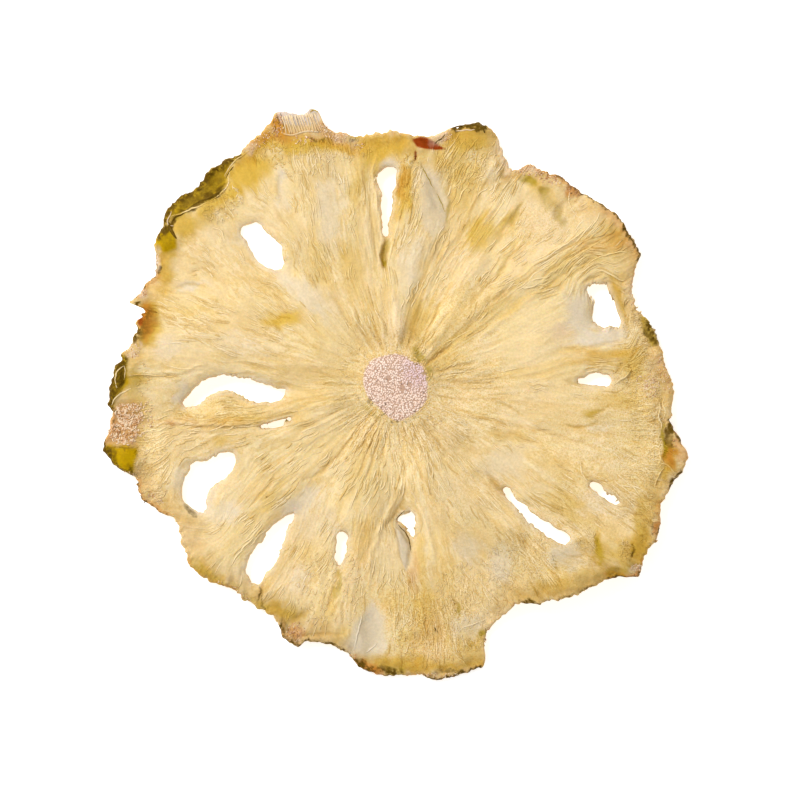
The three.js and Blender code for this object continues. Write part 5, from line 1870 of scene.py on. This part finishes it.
# Threads seen one by one, by colour: route in photo pixels, half-width in mm
DRAWN_THREADS = {
    "plain": [
        ([(250, 150), (240, 157), (232, 163), (229, 168), (224, 176)], 0.10),
        ([(229, 170), (229, 180), (227, 188), (219, 195), (210, 201)], 0.12),
    ],
    "light": [
        ([(209, 201), (200, 206), (188, 210), (180, 214), (171, 216)], 0.12),
        ([(126, 366), (118, 370), (116, 382), (118, 388)], 0.10),
        ([(126, 366), (126, 376), (125, 380)], 0.09),
        ([(132, 388), (122, 393), (114, 400), (112, 405)], 0.12),
        ([(634, 366), (630, 371), (626, 377), (620, 380), (614, 385)], 0.16),
        ([(626, 364), (622, 369), (620, 374)], 0.12),
        ([(656, 398), (661, 406), (658, 416), (662, 426), (659, 436)], 0.13),
        ([(665, 396), (662, 404), (666, 412), (663, 420)], 0.11),
        ([(661, 440), (658, 450), (661, 460), (656, 468)], 0.12),
        ([(580.5, 462), (581, 472), (585, 479), (590, 483)], 0.13),
        ([(663, 468), (657, 478), (654, 488)], 0.12),
        ([(420, 165), (413, 170), (409, 182), (408, 196)], 0.12),
        ([(478, 152), (475, 160), (476, 168)], 0.10), ([(488, 152), (483, 160), (480, 172)], 0.10),
        ([(395, 610), (394, 630), (396, 648)], 0.14), ([(420, 612), (423, 625), (426, 634)], 0.12),
        ([(362, 616), (358, 632), (354, 650)], 0.14), ([(377, 643), (371, 650), (366, 653)], 0.12),
        ([(455, 655), (463, 662), (468, 668)], 0.10),
        ([(488, 618), (480, 622), (462, 628), (458, 634)], 0.10),
        ([(578, 218), (572, 210), (568, 200), (570, 192)], 0.10),
        ([(590, 226), (580, 234), (568, 243), (552, 253), (540, 264)], 0.13),
        ([(604, 238), (590, 248), (576, 256), (560, 266)], 0.12),
        ([(633, 252), (615, 252), (598, 257), (584, 266)], 0.12),
        ([(600, 212), (596, 222), (586, 233)], 0.10),
        ([(130, 376), (144, 374), (160, 376), (178, 374)], 0.10),
        ([(166, 365), (180, 369), (196, 369)], 0.09),
    ],
    "white": [
        ([(171, 211), (169, 217), (166, 222), (169, 226), (173, 226)], 0.10),
        ([(157, 272), (156, 262), (158, 254)], 0.10), ([(456, 131), (464, 130), (474, 130)], 0.11),
    ],
    "brown_and_shadow": [
        ([(233, 166), (228, 173), (226, 178)], 0.09),
        ([(226, 188), (219, 191), (212, 197), (203, 200), (196, 203), (189, 208)], 0.13),
        ([(188, 210), (180, 215), (172, 219), (172, 224)], 0.14),
        ([(168, 222), (171, 230), (176, 238)], 0.26), ([(276, 113), (279, 121), (281, 129)], 0.06),
        ([(280, 112), (283, 121), (285, 131)], 0.06), ([(273, 119), (275, 126), (277, 133)], 0.05),
        ([(397, 523), (401, 528), (406, 534), (410, 542), (411, 552)], 0.08),
        ([(396, 520), (400, 515), (405, 511)], 0.07), ([(453, 128), (460, 126), (466, 126)], 0.13),
        ([(470, 125), (477, 124), (482, 127), (485, 133)], 0.22),
        ([(445, 135), (440, 140), (434, 144)], 0.10),
    ],
    "olive_and_shadow": [
        ([(421, 166), (425, 172), (430, 182), (434, 188)], 0.07),
        ([(437, 194), (441, 202), (445, 211)], 0.06), ([(310, 112), (314, 109), (318, 112)], 0.12),
    ],
}


def drawn_threads(material, surface):
    """The threads that stand out by themselves."""
    length = 14
    step = np.linspace(0, 1, length)
    lines, radii, kinds = [], [], []
    threads = [(kind, *thread) for kind, group in DRAWN_THREADS.items() for thread in group]
    for kind, route, width in threads:
        path = resample_open(place(route), length)
        path += 0.12 * np.column_stack((plane_noise(511, path, 0.9), plane_noise(512, path, 0.9)))
        heights, there = surface.heights(path)
        heights = np.where(there, heights, np.median(heights[there]) if there.any() else 2.0)
        thickness = width * tapered(step, 0.12)
        lines.append(np.column_stack((path, heights + 0.3 * thickness)))
        radii.append(thickness)
        kinds += [kind] * length
    lines, radii = np.array(lines), np.array(radii)
    points, faces, source = tube_mesh(lines, radii, 6, 0.8)
    obj = make_object("single_threads", points, faces, material)
    fields = fields_at(lines.reshape(-1, 3)[:, :2])
    kinds = np.array(kinds)
    shown = {kind: (kinds == kind)[source] * 0.9 for kind in ("brown_and_shadow", "olive_and_shadow", "white")}
    fields["light"] = (kinds == "light") * 1.2
    quiet = {kind: np.zeros(len(points)) for kind in ("rust", "red", "crumb", "moss", "grey")}
    add_looks(obj, fields, source, **shown, **quiet, rim_gap=np.full(len(points), OFF_RIM))
    return obj


# Granular skin: centre x and y and half-sizes in photo pixels, turn in degrees, how many,
# length in mm, brown share
GRANULE_ZONES = [
    (129, 414, 14, 11, 0, 190, 0.8, 0.15), (125, 432, 16, 12, 0, 210, 0.8, 0.15),
    (146, 420, 8, 20, 0, 50, 0.6, 0.0), (334, 133, 16, 7, -25, 110, 0.5, 0.1),
    (360, 146, 6, 4, 0, 20, 0.3, 0.2), (447, 136, 8, 4, 40, 40, 0.4, 0.0),
    (302, 140, 12, 4, 0, 30, 0.5, 0.2), (278, 127, 6, 12, 0, 60, 0.5, 0.45),
    (530, 170, 13, 5, 0, 70, 0.4, 0.15), (548, 178, 14, 5, -20, 70, 0.4, 0.2),
    (574, 190, 8, 5, -30, 60, 0.3, 0.6), (296, 632, 9, 10, -30, 80, 0.4, 0.4),
    (636, 567, 6, 4, 0, 40, 0.4, 0.1), (652, 388, 8, 10, 0, 50, 0.4, 0.1),
    (664, 374, 4, 20, 12, 60, 0.35, 0.15), (352, 656, 5, 3, -30, 12, 0.3, 0.3),
    (440, 676, 22, 2.5, 0, 40, 0.35, 0.25), (134, 351, 8, 7, 0, 60, 0.4, 0.1),
    (156, 497, 10, 4, -30, 40, 0.35, 0.1), (262, 140, 20, 5, 38, 60, 0.4, 0.2),
    (674, 440, 2.5, 12, 0, 30, 0.3, 0.7), (235, 591, 20, 4, -30, 50, 0.35, 0.3),
    (645, 382, 9, 9, 0, 40, 0.5, 0.1), (126, 473, 9, 2.5, -15, 40, 0.35, 0.3),
    (140, 294, 8, 5, 20, 50, 0.4, 0.15),
]


# Curly flesh, in the same way, with the strength of the curls' paler colour and painted highlight in place
# of the brown share
CURL_ZONES = [
    (587, 536, 7, 13, 10, 60, 0.7, 1.3), (624, 549, 7, 10, 0, 60, 0.7, 1.3),
    (650, 519, 5, 7, 0, 36, 0.7, 1.3), (475, 590, 40, 30, 0, 220, 1.6, 1.0),
    (440, 632, 50, 28, 0, 280, 1.6, 1.0), (520, 562, 35, 28, 0, 220, 1.5, 1.0),
    (585, 542, 12, 9, 0, 60, 1.2, 1.3), (623, 549, 6, 9, 0, 30, 1.0, 1.3),
    (636, 328, 13, 22, 0, 110, 1.2, 1.0), (645, 400, 16, 60, 0, 200, 1.2, 1.0),
    (655, 430, 8, 50, 0, 120, 1.4, 1.2), (625, 374, 12, 12, 0, 60, 1.2, 1.1),
    (152, 470, 18, 40, 0, 200, 1.2, 1.1), (300, 160, 30, 18, 0, 130, 1.0, 1.0),
    (338, 150, 34, 12, 0, 120, 1.0, 1.1), (462, 165, 26, 26, 0, 110, 1.4, 1.0),
    (330, 590, 34, 40, 0, 160, 1.6, 0.9), (395, 387, 58, 58, 0, 300, 1.2, 1.0),
    (648, 522, 10, 30, 0, 70, 1.2, 1.0), (410, 180, 12, 30, 0, 90, 1.2, 1.1),
    (225, 205, 24, 14, 35, 90, 1.2, 1.1), (270, 150, 20, 10, 38, 80, 1.0, 1.1),
    (145, 400, 8, 40, 0, 70, 1.0, 1.1),
]


def scattered_curls(rng, zones, surface, spread):
    """Short curled paths over each zone, headed out from the core give or take spread radians.
    Returns the paths, their half-lengths, their zones' last values and the flesh's heights."""
    length = 5
    step = np.linspace(-1, 1, length)
    paths, values, sizes = [], [], []
    for x, y, wide, tall, degrees, count, long, value in zones:
        radius = np.sqrt(rng.random(count))
        angle = rng.random(count) * TURN
        in_zone = np.column_stack((np.cos(angle) * wide, np.sin(angle) * tall)) * PIXEL
        spot = place((x, y)) + turned(radius[:, None] * in_zone, math.radians(degrees))
        outward = np.arctan2(spot[:, 1] - CORE[1], spot[:, 0] - CORE[0])
        size = rng.uniform(0.4, 1.0, count) * long / 2
        heading = outward + rng.normal(0, spread, count)
        local = heading[:, None] + rng.normal(0, 1.1, count)[:, None] * step
        path = np.stack((np.cos(local), np.sin(local)), 2) * (size[:, None] * 2 / length)[..., None]
        paths.append(spot[:, None] + np.cumsum(path, axis=1) - path.sum(1, keepdims=True) / 2)
        values.append(np.full(count, value))
        sizes.append(size)
    paths, values, sizes = np.vstack(paths), np.concatenate(values), np.concatenate(sizes)
    heights, there = surface.heights(paths.reshape(-1, 2))
    whole = there.reshape(-1, length).mean(1) > 0.55
    heights = np.where(there, heights, np.nan).reshape(-1, length)[whole]
    heights = np.where(np.isnan(heights), np.nanmean(heights, 1, keepdims=True), heights)
    return paths[whole], sizes[whole], values[whole], heights


def granules(material, surface):
    """Short curled grains, packed where the skin is rough."""
    rng = np.random.default_rng(521)
    paths, sizes, browns, heights = scattered_curls(rng, GRANULE_ZONES, surface, 2.0)
    count, length = heights.shape
    step = np.linspace(-1, 1, length)
    width = rng.uniform(0.8, 1.2, count) * (0.04 + 0.2 * sizes)
    radii = width[:, None] * (1 - 0.55 * step**4)
    lift = rng.uniform(-0.02, 0.10, count)[:, None]
    points, faces, source = tube_mesh(raised(paths, heights + lift), radii, 5, 1.0)
    obj = make_object("rind_granules", points, faces, material)
    tints = np.clip(browns + rng.normal(0, 0.25, count), 0, 1)
    add_attribute(obj, "tint", np.repeat(tints, length)[source])
    return obj


def flesh_curls(material, surface):
    """Short curled fibres of the flesh, half sunk in it, where it dried into a tangle."""
    rng = np.random.default_rng(541)
    paths, sizes, pale, heights = scattered_curls(rng, CURL_ZONES, surface, 0.5)
    away = np.hypot(*(paths.mean(1) - CORE).T) > CORE_REACH + 0.3
    paths, sizes, pale, heights = paths[away], sizes[away], pale[away], heights[away]
    count, length = heights.shape
    step = np.linspace(-1, 1, length)
    radii = rng.uniform(0.075, 0.12, count)[:, None] * (1 - 0.7 * step**4)
    sides = 4
    points, faces, source = tube_mesh(raised(paths, heights + 0.2 * radii), radii, sides, 0.8)
    crest = crest_share(count, length, sides)
    obj = make_object("flesh_curls", points, faces, material)
    # Painted light and shade: a highlight along the backs of the pale curls, shade along every curl's
    # sides
    looks = {
        "light": np.repeat(pale * rng.uniform(0.1, 1.0, count), length)[source] * crest,
        "painted_shade": 0.12 * (1 - crest),
        "fibres": -0.1 + 0.25 * crest,
        "fibre_shadow": np.zeros(len(points)),
    }
    add_looks(obj, fields_at(paths.reshape(-1, 2)), source, **looks)
    return obj


# The comb on the rim's peak, in photo pixels: the first and last rib's foot, their tips, and
# the cord under them
COMB_FEET = [(287, 134), (322, 131)]
COMB_TIPS = [(282, 117), (315, 113)]
COMB_CORD = [(284, 134), (292, 136), (300, 133), (308, 131), (318, 132)]


def fringe(material, surface):
    """The comb of stiff pale ribs, each with a bead at its upper end, and the cord under them."""
    rng = np.random.default_rng(531)
    ribs, length = 14, 12
    foot = np.linspace(*place(COMB_FEET), ribs) + rng.normal(0, 0.05, (ribs, 2))
    tip = np.linspace(*place(COMB_TIPS), ribs) + rng.normal(0, 0.07, (ribs, 2))
    step = np.linspace(0, 1, length)
    paths = foot[:, None] + (tip - foot)[:, None] * step[:, None]
    paths[:, :, 0] += rng.normal(0, 0.10, ribs)[:, None] * np.sin(step * math.pi)
    paths = np.concatenate((paths, resample_open(place(COMB_CORD), length)[None]))
    heights, there = surface.heights(paths.reshape(-1, 2))
    heights = np.where(there, heights, np.nan).reshape(ribs + 1, length)
    heights = np.where(np.isnan(heights), np.nanmin(heights, 1, keepdims=True), heights)
    bead = np.exp(-(((step - 0.9) / 0.09) ** 2))
    radii = rng.uniform(0.11, 0.15, ribs + 1)[:, None] * (1 - 0.25 * step + 0.55 * bead)
    radii[-1] = 0.14
    points, faces, source = tube_mesh(raised(paths, heights + 0.05), radii, 6, 1.0)
    obj = make_object("rim_fringe", points, faces, material)
    along = {"grey": 0.35 * step, "light": 0.5 + 0.8 * bead, "rust": 0.35 * (1 - step)}
    shown = {name: np.tile(values, ribs + 1)[source] for name, values in along.items()}
    none = np.zeros(len(points))
    quiet = {kind: none for kind in ("white", "brown_and_shadow", "crumb", "shade", "gold")}
    fields = fields_at(paths.reshape(-1, 2))
    add_looks(obj, fields, source, **shown, **quiet, rim_gap=none + OFF_RIM)
    return obj


# ---------------------------------------------------------------- stage

TABLE_SIDE = 1800.0  # mm
TABLE_TOP = -0.05  # mm, just under the slice
LAMP_PLACE = (-260, 240, 420)  # mm
LAMP_SIZE = 260  # mm
LAMP_POWER = 2.4  # W


def build_table():
    n = Nodes("white_table")
    white = n.shade(
        Base_Color=(0.94, 0.94, 0.94, 1.0),
        Roughness=0.9,
        Emission_Color=(1.0, 1.0, 1.0, 1.0),
        Emission_Strength=0.55,
    )
    corners = [(-1, -1), (1, -1), (1, 1), (-1, 1)]
    points = [(x * TABLE_SIDE / 2, y * TABLE_SIDE / 2, TABLE_TOP) for x, y in corners]
    floor = make_object("table", points, [(0, 1, 2, 3)], white, smooth=False)


def build_lights():
    world = bpy.data.worlds.new("soft_room")
    bpy.context.scene.world = world
    world.use_nodes = True
    background = world.node_tree.nodes["Background"]
    background.inputs["Color"].default_value = (1.0, 1.0, 1.0, 1.0)
    background.inputs["Strength"].default_value = 0.6
    light = bpy.data.lights.new("key", "AREA")
    light.shape = "DISK"
    light.size = LAMP_SIZE * MM
    light.energy = LAMP_POWER
    lamp = bpy.data.objects.new("key", light)
    lamp.location = Vector(LAMP_PLACE) * MM
    lamp.rotation_euler = (-Vector(LAMP_PLACE)).to_track_quat("-Z", "Y").to_euler()
    bpy.context.scene.collection.objects.link(lamp)


def build_camera():
    """Straight above the photo's middle, so high that the photo's frame is what it sees."""
    lens = 200.0
    sensor = 36.0
    face_up = 3.0  # mm, the height of the slice's top, where the frame has to fit
    height = PHOTO_SIDE * PIXEL * lens / sensor + face_up
    camera = bpy.data.cameras.new("camera")
    camera.lens = lens
    camera.sensor_width = sensor
    camera.clip_end = 10.0
    holder = bpy.data.objects.new("camera", camera)
    middle = place((PHOTO_SIDE / 2, PHOTO_SIDE / 2))
    holder.location = Vector((*middle, height)) * MM
    bpy.context.scene.collection.objects.link(holder)
    bpy.context.scene.camera = holder


# ---------------------------------------------------------------- the scene

build_camera()
build_table()
build_lights()
flesh = build_sheet(flesh_material("dried_flesh_fibrous", 0.3))
fibre_look = flesh_material("dried_fibre", 0.0)
surface = Surface(flesh)
pieces = [
    flesh,
    core_grains(core_material()),
    loose_fibres(fibre_look, surface),
    drawn_threads(fibre_look, surface),
    granules(granule_material(), surface),
    flesh_curls(fibre_look, surface),
    fringe(fibre_look, surface),
]
for piece in pieces:
    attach(piece, BODY)
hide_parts(NODE)

bpy.context.scene.view_settings.view_transform = "Standard"
